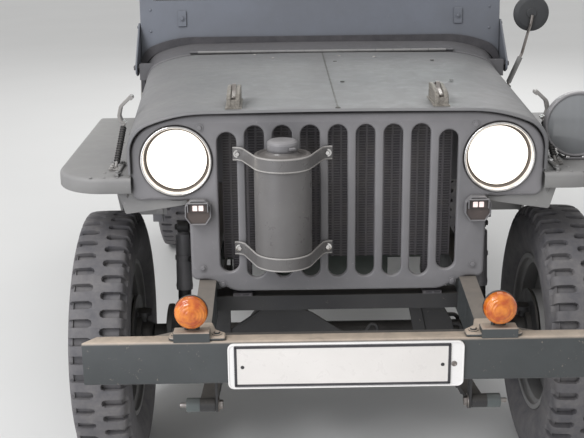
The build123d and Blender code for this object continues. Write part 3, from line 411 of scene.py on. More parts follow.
def rubber(name, base, dust, grit=9.0, dust_share=0.6):
    """Moulded tyre rubber, dry and dusty: nearly matt, greyer where dust sticks, and darkened
    by painted shade in its notches and crevices.
    """
    material, tree, place = blank(name)
    smear = add(tree, "TexNoise", {"Vector": place, "Scale": per(55), "Detail": 5.0,
                                   "Roughness": 0.7})[0]
    grain = add(tree, "TexNoise", {"Vector": place, "Scale": per(grit), "Detail": 4.0})[0]
    # Painted shade: this occlusion mask darkens the colour towards #1d1c1c in notches and crevices
    corner = add(tree, "AmbientOcclusion", {"Distance": 0.012}, samples=4)["AO"]
    smeared, grainy, crevice_shade, rough = (
        add(tree, "MapRange", {0: value, 1: low, 2: high, 3: to_low, 4: to_high})[0]
        for value, low, high, to_low, to_high in (
            (smear, 0.3, 0.7, 0.0, dust_share), (grain, 0.3, 0.7, 0.5, 1.0),
            (corner, 0.2, 0.8, 0.6, 0.0), (grain, 0.3, 0.7, 0.62, 0.85)))
    dusty = add(tree, "Math", {0: smeared, 1: grainy}, operation="MULTIPLY")[0]
    colour = linear(base)
    for share, over in ((dusty, dust), (crevice_shade, "#1d1c1c")):
        colour = add(tree, "Mix", {0: share, 6: colour, 7: linear(over)}, data_type="RGBA")[2]
    skin = add(tree, "Bump", {"Height": grain, "Strength": 0.25, "Distance": 0.4 * MM})[0]
    return finished(material, {"Base Color": colour, "Roughness": rough, "IOR": 1.52,
                               "Normal": skin})


def metal(name, base, tarnish, roughness=0.3):
    """Bare or plated steel: a metal's own colour, dulled in cloudy patches and finely scratched,
    its scratches 4 mm apart."""
    material, tree, place = blank(name)
    patch = add(tree, "TexNoise", {"Vector": place, "Scale": per(30), "Detail": 5.0,
                                   "Roughness": 0.6})[0]
    line = add(tree, "TexNoise", {"Vector": place, "Scale": per(4), "Detail": 4.0})[0]
    dull = add(tree, "MapRange", {0: patch, 1: 0.4, 2: 0.7, 4: 0.5})[0]
    colour = add(tree, "Mix", {0: dull, 6: linear(base), 7: linear(tarnish)}, data_type="RGBA")[2]
    rough = add(tree, "MapRange", {0: line, 1: 0.3, 2: 0.7, 3: roughness * 0.75,
                                   4: roughness * 1.35})[0]
    skin = add(tree, "Bump", {"Height": line, "Strength": 0.15, "Distance": 0.15 * MM})[0]
    return finished(material, {"Base Color": colour, "Roughness": rough, "Metallic": 1.0,
                               "Normal": skin})


def canvas(name, base, dark):
    """Woven cotton duck, proofed: threads over and under, the higher of two waves. They are drawn
    7.9 mm apart, where the real ones are about 1 mm apart, so that the weave shows. The low
    parts between the threads are darkened with painted shade."""
    material, tree, place = blank(name)
    warp, weft = (add(tree, "TexWave", {"Vector": place, "Scale": bands(7.9), "Distortion": 0.5,
                                        "Detail": 1.0}, bands_direction=way)[1] for way in "XY")
    thread = add(tree, "Math", {0: warp, 1: weft}, operation="MAXIMUM")[0]
    soil = add(tree, "TexNoise", {"Vector": place, "Scale": per(90), "Detail": 5.0,
                                  "Roughness": 0.7})[0]
    soiled = add(tree, "MapRange", {0: soil, 1: 0.35, 2: 0.7})[0]
    # Painted shade: the low parts between threads are darkened
    sunk = add(tree, "MapRange", {0: thread, 1: 0.2, 2: 1.0, 3: 0.45, 4: 0.0})[0]
    colour = linear(base)
    for share in (soiled, sunk):
        colour = add(tree, "Mix", {0: share, 6: colour, 7: linear(dark)}, data_type="RGBA")[2]
    skin = add(tree, "Bump", {"Height": thread, "Strength": 0.35, "Distance": 0.5 * MM})[0]
    return finished(material, {"Base Color": colour, "Roughness": 0.9, "IOR": 1.45,
                               "Sheen Weight": 0.3, "Normal": skin})


def lens(name, base, roughness, rib, glow="#ffffff", strength=0.0, tint="#ffffff"):
    """Moulded lamp lens: clear gloss over pressed ribs, rib millimetres apart, that break up the
    light, with patches tinted by what lies behind it; a lit one glows."""
    material, tree, place = blank(name)
    ribs = add(tree, "TexWave", {"Vector": place, "Scale": bands(rib)}, bands_direction="X")[1]
    cast = add(tree, "TexNoise", {"Vector": place, "Scale": per(20), "Detail": 2.0})[0]
    patches = add(tree, "MapRange", {0: cast, 1: 0.35, 2: 0.65})[0]
    colour = add(tree, "Mix", {0: patches, 6: linear(base), 7: linear(tint)}, data_type="RGBA",
                 blend_type="MULTIPLY")[2]
    skin = add(tree, "Bump", {"Height": ribs, "Strength": 0.5, "Distance": 0.6 * MM})[0]
    return finished(material, {"Base Color": colour, "Roughness": roughness, "IOR": 1.5,
                               "Coat Weight": 0.5, "Emission Color": linear(glow),
                               "Emission Strength": strength, "Normal": skin})


def pane(name):
    """Clear flat safety glass, a little dusty: a few percent of haze over plain glass."""
    material, tree, place = blank(name)
    haze = add(tree, "TexNoise", {"Vector": place, "Scale": per(180), "Detail": 5.0,
                                  "Roughness": 0.7})[0]
    rough = add(tree, "MapRange", {0: haze, 1: 0.4, 2: 0.8, 3: 0.02, 4: 0.14})[0]
    return finished(material, {"Base Color": linear("#e8f0ee"), "Roughness": rough, "IOR": 1.5,
                               "Transmission Weight": 1.0})


def core(name):
    """Radiator core, dip-painted black: rows of thin fins, 3 mm apart in the real one and drawn
    7 mm apart, between flat water tubes 22 mm apart. The gaps between them are painted
    darker as shade, and the fin and tube faces lighter."""
    material, tree, place = blank(name)
    fins, tubes = (add(tree, "TexWave", {"Vector": place, "Scale": bands(spacing)},
                       bands_direction=way)[1] for spacing, way in ((7, "Z"), (22, "X")))
    fin = add(tree, "MapRange", {0: fins, 1: 0.35, 2: 0.65})[0]
    pipe = add(tree, "MapRange", {0: tubes, 1: 0.7, 2: 0.9})[0]
    depth = add(tree, "Math", {0: fin, 1: pipe}, operation="MAXIMUM")[0]
    dirt = add(tree, "TexNoise", {"Vector": place, "Scale": per(60), "Detail": 5.0})[0]
    dirty = add(tree, "MapRange", {0: dirt, 1: 0.45, 2: 0.75, 4: 0.4})[0]
    # Painted shade and light: the gaps between fins and tubes stay dark, and their raised faces
    # turn lighter
    colour = linear("#3e3c3f")
    for share, over in ((depth, "#5a575a"), (dirty, "#66615b")):
        colour = add(tree, "Mix", {0: share, 6: colour, 7: linear(over)}, data_type="RGBA")[2]
    skin = add(tree, "Bump", {"Height": depth, "Strength": 0.8, "Distance": 2.0 * MM})[0]
    return finished(material, {"Base Color": colour, "Roughness": 0.6, "IOR": 1.45, "Normal": skin})


def wood(name):
    """Ash blocks under worn drab paint: grain lines about 6 mm apart along their length."""
    material, tree, place = blank(name)
    along = add(tree, "Mapping", {"Vector": place, "Scale": (1.0, 0.08, 1.0)})[0]
    rings = add(tree, "TexNoise", {"Vector": along, "Scale": per(6), "Detail": 4.0,
                                   "Distortion": 0.8})[0]
    share = add(tree, "MapRange", {0: rings, 1: 0.35, 2: 0.65})[0]
    colour = add(tree, "Mix", {0: share, 6: linear("#6b665f"), 7: linear("#8a857d")},
                 data_type="RGBA")[2]
    skin = add(tree, "Bump", {"Height": rings, "Strength": 0.3, "Distance": 0.5 * MM})[0]
    return finished(material, {"Base Color": colour, "Roughness": 0.55, "IOR": 1.46,
                               "Normal": skin})


def plain_floor(name):
    """Plain pale studio floor with the faintest cloud in its tone."""
    material, tree, place = blank(name)
    cloud = add(tree, "TexNoise", {"Vector": place, "Scale": per(900), "Detail": 2.0})[0]
    colour = add(tree, "Mix", {0: cloud, 6: linear("#dcdcdb"), 7: linear("#e2e2e1")},
                 data_type="RGBA")[2]
    return finished(material, {"Base Color": colour, "Roughness": 0.75})


# Drab enamels, one paint given its own tone on each panel: warmer on the body; darker on hood
# and cowl, which is painted shade; bluer on the windscreen, painted blue sky light on its shaded
# face; and nearly black under pale dust on the bumper
olive = enamel("drab_enamel", "#7c7b7b", "#8a8987", "#a3a1a0", dust_share=0.3)
body_olive = enamel("drab_enamel_body", "#7f7e79", "#8b8a85", "#aaa7a3", dust_share=0.45)
guard_paint = enamel("drab_enamel_guard", "#757476", "#828082", "#a9a5a4", 0.42)
# Painted shade: the hood's copy of the one paint is made darker
hood_shaded_paint = enamel("drab_enamel_hood_shaded", "#6b6b6d", "#777677", "#949392", dust_share=0.3)
# Painted light: the windscreen's copy of the paint is darker and bluer, for blue sky light on its
# shaded face
screen_sky_tinted_paint = enamel("drab_enamel_screen_sky_tinted", "#6d717a", "#666970", "#8f8e8c", 0.5, 0.2)
# Painted shade: the cowl's copy of the paint is darker, for the shade under the windscreen
cowl_shaded_paint = enamel("drab_enamel_cowl_painted_shade", "#656467", "#5c5b5d", "#7f7c7b", 0.5, 0.2)
bush_paint = enamel("bush_enamel", "#636a69", "#555b5b", "#8d8b86", 0.4, 0.3)
mirror_paint = enamel("mirror_enamel", "#3d3e40", "#353638", "#5d5a57", 0.6, 0.2)
bumper_paint = enamel("bumper_enamel", "#474a4b", "#3d4041", "#cdbcaa", 0.45, 0.92)
# Enamels of rails, tank, beads, chassis, lamps and engine: smoother, and so a little glossier
rail_paint = enamel("rail_enamel", "#494c4d", "#3e4142", "#a3988d", 0.45, 0.6)
tank_paint = enamel("tank_enamel", "#6e6c6b", "#605e5e", "#9a9189", 0.32, 0.3, 0.3)
bead_paint = enamel("bead_enamel", "#a8a5a2", "#8e8b88", "#c4bfba", 0.25, 0.2, 0.1)
black = enamel("chassis_black", "#2f2f31", "#3b3a3a", "#7d776f", 0.5, 0.35)
bucket_brown = enamel("bucket_enamel", "#5b524a", "#4c443e", "#7d746b", 0.45, 0.1)
motor_paint = enamel("motor_enamel", "#4b524c", "#3e433f", "#77736b", 0.4)
marker_dark = enamel("marker_enamel", "#4c4443", "#5a504c", "#7a6f68", 0.45, 0.2, 0.1)
# White stove enamel on the plate, and the holder's white moulding, glossy and nearly even
plate_white = enamel("plate_enamel", "#dedad6", "#e6e2de", "#cfc7c1", 0.3, 0.1, 0.05)
holder_white = enamel("moulded_white", "#eceae8", "#f4f2f0", "#cdc6c0", 0.35, 0.15, 0.05)
# Rubbers, and the hand rim's moulded phenolic plastic, a black that wear has dulled as much
tread_rubber = rubber("tyre_rubber", "#565559", "#8b8784")
wall_rubber = rubber("seal_rubber", "#333236", "#615e60", 6.0, 0.5)
dark_rim = rubber("hand_rim_bakelite", "#1d1c1d", "#3b3838", 12.0, 0.25)
# Nickel plate, a bright mirror; bare steel, greyer and browned; exhaust steel, scaled by heat
chrome = metal("bright_plate", "#dad8d6", "#8f8b88", 0.12)
steel = metal("bare_steel", "#9b9692", "#5e5049", 0.38)
exhaust_steel = metal("heated_steel", "#7d736a", "#553f31", 0.55)
cloth = canvas("cotton_duck", "#6b674f", "#4c4a39")
# Lenses: the lit headlamps' and the markers' dim ones, the cold lamp's, and dyed amber and red
glow_lens = lens("lit_lens", "#fffaf2", 0.1, 17.8, "#fff4e6", 1.3)
slit_lens = lens("slit_lens", "#f4e3e0", 0.2, 7.9, "#ffe6e0", 0.5)
unlit_lens = lens("unlit_lens", "#7c7e80", 0.1, 21.7)
amber = lens("amber_lens", "#d9802a", 0.2, 11.8, "#d8661a", 0.05, "#cf9c8c")
red = lens("red_lens", "#8e1712", 0.2, 9.9)
clear_glass = pane("window_glass")
radiator_core = core("radiator_core")
ash = wood("ash_wood")


# Camera, light and floor

def add_camera():
    """Camera of the photograph: from in front and above, a little to the car's right. Its three
    axes are built from the yaw, pitch and roll, in degrees, and its place is in millimetres."""
    yaw, pitch, roll = (math.radians(a) for a in (0.616, 16.606, -0.646))
    ahead = Vector((math.sin(yaw) * math.cos(pitch), math.cos(yaw) * math.cos(pitch),
                    -math.sin(pitch)))
    level = Vector((math.cos(yaw), -math.sin(yaw), 0))
    above = level.cross(ahead)
    right = level * math.cos(roll) + above * math.sin(roll)
    up = above * math.cos(roll) - level * math.sin(roll)
    data = bpy.data.cameras.new("camera")
    data.sensor_width = 36.0
    data.lens = 65.92
    data.clip_start = 0.05
    camera = bpy.data.objects.new("camera", data)
    camera.matrix_world = Matrix((right, up, -ahead)).transposed().to_4x4()
    camera.location = Vector((-146.6, -3960.5, 1556.9)) * MM
    bpy.context.scene.collection.objects.link(camera)
    bpy.context.scene.camera = camera


def add_light(name, place, aim, size, power, tint="#ffffff"):
    """Square soft box at a place, looking at a point, both in metres."""
    data = bpy.data.lights.new(name, "AREA")
    data.size = size
    data.energy = power
    data.color = linear(tint)[:3]
    lamp = bpy.data.objects.new(name, data)
    lamp.location = place
    lamp.rotation_euler = (Vector(aim) - Vector(place)).to_track_quat("-Z", "Y").to_euler()
    bpy.context.scene.collection.objects.link(lamp)


def add_studio():
    """Pale world, three soft boxes and a plain floor."""
    world = bpy.data.worlds.new("studio")
    bpy.context.scene.world = world
    world.use_nodes = True
    tree = world.node_tree
    path = add(tree, "LightPath", {})
    seen = add(tree, "Math", {0: path["Is Camera Ray"], 1: path["Is Transmission Ray"]},
               operation="MAXIMUM")[0]
    seen = add(tree, "Math", {0: seen, 1: path["Is Glossy Ray"]}, operation="MAXIMUM")[0]
    strength = add(tree, "MapRange", {0: seen, 3: 0.62, 4: 0.8})[0]
    wire(tree, tree.nodes["Background"], {"Color": (1.0, 1.0, 1.0, 1.0), "Strength": strength})
    add_light("key", (-3.4, -3.9, 5.2), (-0.2, -0.9, 0.7), 2.6, 225.0)
    add_light("fill", (-3.2, -5.2, 1.6), (-0.2, -0.9, 0.5), 3.0, 75.0, "#f3f6ff")
    add_light("back", (1.0, 5.0, 4.2), (0, 0.4, 0.8), 3.0, 110.0)
    # The floor reaches 60 m from the middle, further than any view
    mesh = bpy.data.meshes.new("floor")
    corners = [(60.0 * a, 60.0 * b, 0.0) for a, b in ((-1, -1), (1, -1), (1, 1), (-1, 1))]
    mesh.from_pydata(corners, [], [(0, 1, 2, 3)])
    mesh.materials.append(plain_floor("studio_floor"))
    floor = bpy.data.objects.new("floor", mesh)
    bpy.context.scene.collection.objects.link(floor)


# Front guard, lamps and bumper

slot_pitch, slot_width = 70.3, 49.0
slot_low, slot_high, outer_drop = 611.0, 1015.0, 16.0
shoulder_low, notch_z, low_half = 824.0, 606.1, 382.0
headlamp = np.array([410.0, grille_y, 927.0])
rail_inner, rail_outer = 318.0, 362.0


def arch(half, top, low):
    """Closed section of guard, hood or cowl: flat top, an arc of 380 over 22 degrees and one of
    75 on each side, upright sides down to low. Points (x, z), from low right, anticlockwise."""
    turn, big, small = math.radians(22), 380.0, 75.0
    flat = half - big * math.sin(turn) - small * (1 - math.sin(turn))
    drop = big * (1 - math.cos(turn)) + small * math.cos(turn)
    a = np.linspace(math.pi / 2, turn, 9)
    b = np.linspace(turn, 0, 7)
    tight = np.stack([half - small + small * np.sin(a), top - drop + small * np.cos(a)], -1)
    broad = np.stack([flat + big * np.sin(b), top - big + big * np.cos(b)], -1)
    right = np.vstack([[(half, low)], tight, broad[1:]])
    return np.vstack([right, right[::-1] * (-1, 1)])


def faced(outline, holes, depth, plane):
    """Flat face with holes: its triangles come from a tessellation of the outlines."""
    rings = [outline, *holes]
    triangles = tessellate([[Vector((*p, 0)) for p in ring.tolist()] for ring in rings])
    return placed(np.vstack(rings), depth, plane), [list(t) for t in triangles]


def lip(outline, profile, plane):
    """Edge pressed along an outline: profile of (inset, depth) pairs carried round it."""
    rings = [placed(shrunk(outline, inset), depth, plane) for inset, depth in profile]
    return surface(np.stack(rings), wrap_v=True)


def pierced(outline, holes, low, high, plane, bevel=1.0):
    """Plate with holes: its two flat faces, and a chamfered edge round outline and holes."""
    parts = []
    for depth in (low, high):
        parts.append(faced(shrunk(outline, bevel), [shrunk(hole, -bevel) for hole in holes],
                           depth, plane))
    edge = [(bevel, low), (0, low + bevel), (0, high - bevel), (bevel, high)]
    parts.append(lip(outline, edge, plane))
    parts += [lip(hole, [(-inset, depth) for inset, depth in edge], plane) for hole in holes]
    return parts


def make_guard():
    """Pressed guard: nine slots and two lamp holes with their edges rolled back."""
    y = grille_y
    e = 8.0  # radius of the rolled edge
    shell = arch(grille_half - e, grille_top - e, shoulder_low + e)
    crown = shell[shell[:, 1] > shoulder_low + e + 1]
    right = [(0.0, 581.0), (266.0, 581.0), (334.0, notch_z + e), (low_half - e, notch_z + e),
             (low_half - e, shoulder_low + e), (grille_half - e, shoulder_low + e),
             (grille_half - e, 930.0)]
    right = eased(right, [0, 55, 45, 9, 8, 16, 0], steps=6)
    left = right[::-1] * (-1, 1)
    outline = np.vstack([right[1:-1], crown, left[1:-1]])
    holes = []
    for i in range(9):
        x = (i - 4) * slot_pitch
        drop = outer_drop if i in (0, 8) else 0.0
        r = slot_width / 2 + 4.0
        holes.append(rectangle(x - r, x + r, slot_low + drop - 4.0, slot_high - drop + 4.0,
                               r - 0.01, 9))
    for s in SIDES:
        holes.append(circle(95.5, 64) + (s * headlamp[0], headlamp[2]))
    clean = [ring[np.linalg.norm(ring - np.roll(ring, 1, 0), axis=1) > 0.05]
             for ring in [outline, *holes]]
    parts = [faced(clean[0], clean[1:], y, "xz")]
    rim = [(-e * math.sin(a), y + e * (1 - math.cos(a)))
           for a in np.linspace(0, math.pi / 2, 7)] + [(-e, y + 34.0)]
    parts.append(lip(clean[0], rim, "xz"))
    pressed = [(0, y), (1.6, y + 0.5), (3.0, y + 1.8), (4.0, y + 4.0), (4.0, y + 13.0)]
    parts += [lip(ring, pressed, "xz") for ring in clean[1:]]
    piece("guard_panel", parts, guard_paint, replaces=["grille_guard"],
          wall=2.6, facing=-Y, smooth=40)
    bolts = []
    for s in SIDES:
        for x, z in ((348, 1012), (300, 596), (352, 640)):
            bolts += bolt((s * x, y, z), -Y, 13.0, 5.0)
    piece("guard_bolts", bolts, guard_paint)


def make_headlamps():
    """Sealed lamp in a plated ring: a bowed lens that glows, set back in a dark channel."""
    for s, side in ((-1, "right"), (1, "left")):
        x, z = s * headlamp[0], headlamp[2]
        centre = (x, grille_y, z)
        ring = eased([(9, 82.5), (-1, 84), (-7, 86), (-6, 90.5), (2, 91), (14, 90.5), (14, 82.5)],
                     2.0, True, 4)
        piece(f"lamp_ring_{side}", [lathe(ring, centre, Y, 72, True)], chrome)
        t = np.linspace(0, 1, 12)
        bowl = np.stack([17 - 15 * (1 - t ** 2), 76.5 * t], -1)
        piece(f"lamp_lens_{side}", [lathe(bowl, centre, Y, 64),
                                    lathe([(17, 76.5), (22, 76.5), (22, 0)], centre, Y, 64)],
              glow_lens)
        shell = [(24, 0), (24, 78), (11, 82), (14, 90), (40, 84), (70, 60), (92, 30), (95, 0)]
        piece(f"lamp_bucket_{side}", [lathe(shell, centre, Y, 48)], bucket_brown)
        stay = block(x - 12, x + 12, grille_y + 8, grille_y + 28, z + 82, 1022)
        piece(f"lamp_stay_{side}", stay, guard_paint)
    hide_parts("headlamps")


def make_markers():
    """Blackout marker: eight-sided housing with a pale rim, two lit windows in a shallow visor."""
    low, high = box("marker_lamps")
    mx, mz, front = high[0] - 34.0, (low[2] + high[2]) / 2, low[1]
    shells, faces, slits = [], [], []
    for s in SIDES:
        x = s * mx
        corners = np.array([(-34, -12), (-20, -33), (20, -33), (34, -12), (33, 18), (18, 33),
                            (-18, 33), (-33, 18)], float) + (x, mz)
        ring = eased(corners, 5.0, True, 4)
        rim = [(0, grille_y), (0, front + 8), (1, front + 5.6), (2.4, front + 5.2),
               (3.6, front + 6), (4.2, front + 10)]
        shells.append(lip(ring, rim, "xz"))
        faces.append(cap(placed(shrunk(ring, 4.2), front + 9.8, "xz")))
        for dx in (-25.5, 25.5):
            shells += block(x + dx - 1.3, x + dx + 1.3, front - 1, front + 10, mz + 3, mz + 27, 0.5)
        shells += block(x - 27, x + 27, front - 1, front + 10, mz + 25, mz + 28, 0.8)
        faces += pierced(rectangle(x - 24, x + 24, mz + 2, mz + 25, 1.5, 3),
                         [rectangle(x + a, x + a + 12.5, mz + 5, mz + 19.5, 1.5, 3)
                          for a in (-14, 1.5)], front + 6.0, front + 9.9, "xz", 0.5)
        slits += [part for a in (-14, 1.5) for part in block(x + a, x + a + 12.5, front + 7.4,
                                                             front + 9.4, mz + 5, mz + 19.5, 0.3)]
    piece("marker_rims", shells, guard_paint, replaces=["marker_lamps"])
    piece("marker_faces", faces, marker_dark)
    piece("marker_slits", slits, slit_lens)


def make_turn_signals():
    """Amber dome, ringed by its moulding, over a dark cup on two pegs and a clip block."""
    low, high = box("turn_signals")
    tx, top = high[0] - 39.5, high[2] + 2.0
    tz, y = top - 40.0, (low[1] + high[1]) / 2 + 6
    domes, cups, pegs = [], [], []
    for s in SIDES:
        c = (s * tx, y, tz)
        t = np.linspace(0, math.pi / 2, 46)
        swell = 0.9 * np.cos(t * 26) * np.sin(t)
        dome = np.stack([-8 - (24 + swell) * np.cos(t) ** 0.8, 38.5 * np.sin(t)], -1)
        domes += [lathe(dome, c, Y, 64), lathe([(-8, 38.5), (-2, 38.5), (-2, 0)], c, Y, 64)]
        cup = eased([(-2, 0), (-2, 39.5), (2, 39.5), (14, 36), (17, 28), (17, 0)],
                    [0, 0.5, 2, 2.5, 2.5, 0])
        cups.append(lathe(cup, c, Y, 56))
        for dx in (-13, 13):
            pegs += tube([(c[0] + dx, y + 4, 600), (c[0] + dx, y + 4, tz - 33)], 5.0, X, 14)
        pegs += block(c[0] - 42, c[0] + 42, low[1] + 9, y + 16, 577, 602, 2.0)
    piece("turn_domes", domes, amber, replaces=["turn_signals"], smooth=50)
    piece("turn_cups", cups, black)
    piece("turn_pegs", pegs, bumper_paint)


def make_bumper():
    """Channel section drawn across the car: its flanges' ends are cut back by 0.8 mm for each
    millimetre that they reach to the rear."""
    low, high = bumper_low, bumper_high
    y0, y1 = low[1], high[1]
    z0, z1 = low[2] + 4.0, high[2] + 9.0
    t = 5.0  # thickness of the channel's steel
    outline = eased([(y1, z1 - t), (y1, z1), (y0, z1), (y0, z0), (y1, z0), (y1, z0 + t),
                     (y0 + t, z0 + t), (y0 + t, z1 - t)], [1, 1, 7, 7, 1, 1, 3, 3], True, 5)
    half = high[0] - np.maximum(outline[:, 0] - y0 - t, 0) * 0.8
    rings = [np.column_stack([share * half, shrunk(outline, inset)])
             for share, inset in ((-1.0, 1.0), (-0.996, 0.0), (0.996, 0.0), (1.0, 1.0))]
    parts = [surface(np.stack(rings), wrap_v=True), cap(rings[0]), cap(rings[-1])]
    piece("bumper_channel", parts, bumper_paint, replaces=["front_bumper"])
    inner, outer = rail_inner, rail_outer
    wing = [(inner - 38, y0 + 5), (outer + 50, y0 + 5), (outer + 50, y1 - 6), (outer + 26, y1 + 10),
            (outer + 8, y1 + 60), (inner - 4, y1 + 60), (inner - 14, y1 + 16), (inner - 38, y1 - 4)]
    wing = eased(wing, [4, 12, 14, 26, 8, 8, 14, 12], True, 5)
    gussets, bolts = [], []
    for s in SIDES:
        gussets += prism(wing * (s, 1), z1 + 0.2, z1 + 8, "xy", 2.0)
        for bx in (300.0, 396.0):
            bolts += bolt((s * bx, y0 + 29, z1 + 8), Z, 15.0, 7.0)
    piece("bumper_gussets", gussets, bumper_paint)
    piece("bumper_bolts", bolts, bumper_paint)


def make_plate():
    """White moulded holder, screwed on, with a blank plate in a black frame set to one side."""
    low, high = plate_low, plate_high
    x1, y0, y1 = high[0], low[1], high[1]
    z0, z1 = low[2] + 5.0, high[2]
    ring = rectangle(-x1, x1, z0, z1, 14.0, 6)
    rim = [(0, y1), (0, y0 + 2.4), (0.8, y0 + 1.4), (3.0, y0 + 1.4), (4.2, y0 + 2.6)]
    tray = [lip(ring, rim, "xz"), cap(placed(shrunk(ring, 4.2), y0 + 2.6, "xz")),
            cap(placed(ring, y1, "xz"))]
    piece("plate_holder", tray, holder_white, replaces=["number_plate"])
    frame_ring = rectangle(-x1 + 15, x1 - 31, z0 + 6, z1 - 5, 2.0, 3)
    border = [(0, y0 + 2.8), (0, y0 + 0.9), (0.8, y0 + 0.3), (5.4, y0 + 0.3), (6.2, y0 + 1.2),
              (6.2, y0 + 2.8)]
    piece("plate_border", [lip(frame_ring, border, "xz")], wall_rubber)
    face = rectangle(-x1 + 21, x1 - 37, z0 + 12, z1 - 11, 1.0, 2)
    piece("plate_face", prism(face, y0 + 1.2, y0 + 2.8, "xz", 0.3), plate_white)
    middle = (z0 + z1) / 2
    screws = [lathe([(0, 4.4), (-0.6, 4.2), (-0.9, 2), (-1.0, 0)], (x, y0 + 1.3, middle - 1),
                    Y, 20) for x in (-x1 + 34, x1 - 50)]
    piece("plate_screws", screws, black)
    head = [(0, 7), (-1.0, 6.6), (-1.8, 4), (-1.0, 3.2), (-1.0, 0)]
    piece("holder_screw", [lathe(head, (x1 - 23, y0 + 2.8, middle), Y, 24)], steel)


def make_coolant_tank():
    """Soldered sheet tank: straight drum, pressed ends, a low cap and two straps that swing out
    to flat, bolted ends; each strap's two edges are rolled into thin bright beads."""
    low, high = box("coolant_tank")
    x = (low[0] + high[0]) / 2
    z0, top = low[2], high[2]
    tall, r = top - 34.0 - z0, 71.5
    y = grille_y - r - 4
    drum = eased([(0, 0), (2, 30), (-1, 60), (1, r - 3), (5, r), (tall - 7, r), (tall - 2, r - 2),
                  (tall, r - 9), (tall - 4, r - 14), (tall - 2, 46), (tall + 2, 40), (tall + 6, 38),
                  (tall + 6, 0)], [0, 3, 3, 3, 3, 3, 2, 2, 3, 3, 2, 1, 0], False, 5)
    piece("tank_drum", [lathe(drum, (x, y, z0), Z, 64)], tank_paint,
          replaces=["coolant_tank"], smooth=40)
    lid = eased([(4, 0), (4, 34), (7, 38), (12, 39), (24, 39), (29, 37), (33, 31), (34, 0)],
                [0, 1, 1, 1, 2, 2, 3, 0], False, 5)
    ears = []
    for k in range(2):
        ears += turned(block(x - 8, x + 8, y - 45, y - 33, z0 + tall + 12, z0 + tall + 20, 2.0),
                       (x, y, z0), Z, 180 * k + 35)
    piece("tank_cap", [lathe(lid, (x, y, z0 + tall), Z, 56)] + ears, guard_paint, smooth=40)
    straps, beads, bolts = [], [], []
    a = np.linspace(math.radians(20), math.radians(160), 30)
    hoop = np.stack([x + (r + 2.2) * np.cos(a), y - (r + 2.2) * np.sin(a)], -1)
    back = grille_y - 3
    bend = eased([hoop[0], (x + 104.9, back), (x + 126, back)], [0, 25, 0], steps=14)[1:]
    away = np.stack([2 * x - bend[:, 0], bend[:, 1]], -1)
    run = np.vstack([bend[::-1], hoop, away])
    for z in (z0 + 20, top - 51):
        path = np.column_stack([run, np.full(len(run), z)])
        straps += strip(path, 31.0, 2.6, Z)
        for edge in (-15.5, 15.5):
            beads += tube(path + (0, 0, edge), 2.4, Z, 8)
        for bx in (x - 114, x + 114):
            bolts += bolt((bx, grille_y - 4.2, z), -Y, 13.0, 7.0)
    piece("tank_straps", straps, tank_paint, smooth=40)
    piece("tank_beads", beads, bead_paint)
    piece("tank_bolts", bolts, chrome)


# Hood, fenders and cowl

def crowned(half, top, low, inset=0.0):
    """Arch section with points added along its flat top, which a squared cosine lifts 3.5 mm."""
    section = arch(half - inset, top - inset, low)
    middle = np.linspace(section[15], section[16], 14)[1:-1]
    section = np.vstack([section[:16], middle, section[16:]])
    rise = 3.5 * np.cos(np.clip(section[:, 0] / half, -1, 1) * math.pi / 2) ** 2
    return section[:, 0], section[:, 1] + rise * (section[:, 1] > top - 60)


def hood_section(y, inset=0.0):
    """Open section of the hood at y, from the left side's low edge over to the right one's: it
    widens by 64 mm a side and climbs 6 mm on its way to the cowl."""
    share = min(max((y - hood_low[1]) / (cowl_y - 3 - hood_low[1]), 0.0), 1.0)
    return crowned(532.0 + 64.0 * share, 1054.0 + 6.0 * share, hood_low[2], inset)


def make_hood():
    """Crowned hood pressed from one sheet: sections along the car, its two ends rolled under."""
    y0, y1 = hood_low[1], cowl_y - 3
    front = [(y0 + 16, 8.0), (y0 + 5, 8.0)] + [(y0 + 8 * (1 - math.cos(t)), 8 * (1 - math.sin(t)))
                                              for t in np.linspace(0.25, math.pi / 2, 5)]
    body_rows = [(y, 0.0) for y in np.linspace(y0 + 30, y1 - 25, 22)]
    rear = [(y1 - 8, 0.0), (y1 - 3, 1.5), (y1, 5.0), (y1 - 1, 12.0)]
    rows = []
    for y, inset in front + body_rows + rear:
        x, z = hood_section(y, inset)
        rows.append(np.stack([x, np.full(len(x), y), z], -1))
    # The hood takes the darker hood copy of the paint, whose darkness is painted shade
    piece("hood_skin", [surface(np.stack(rows))], hood_shaded_paint, "hood_body", ["hood"],
          wall=1.6, facing=Z, smooth=50)


def make_hood_fittings():
    """Bead down the hood's middle with its rivet and four plugs, and the rivets on the hood."""
    y0, y1 = hood_low[1], cowl_y - 3
    ys = np.linspace(y0 + 18, y1 - 22, 30)
    top = np.array([hood_section(y)[1].max() for y in ys])
    seam = np.stack([np.zeros(30), ys, top + 0.4], -1)
    parts = strip(seam, 4.0, 1.6, X)
    parts += rivet((0, ys[0] - 3, top[0]), Z, 7.0)
    plugs = [lathe([(0, 6.5), (1.6, 5.5), (2.0, 0)], (x, y, 1062.0), Z, 20)
             for x in (33, 343) for y in (-548, -943)]
    piece("hood_seam", parts + plugs, black, "hood_body")
    studs = []
    for x, y in ((-226, -377), (53, -427), (165, -461), (-165, -461)):
        studs += rivet((x, y, 1062.6), Z, 6.0)
    for s in SIDES:
        for y in (y0 + 60, y0 + 92):
            studs += rivet((s * 452, y, 1036.5), (0.34 * s, 0, 0.94), 4.0)
    piece("hood_rivets", studs, bead_paint, "hood_body")


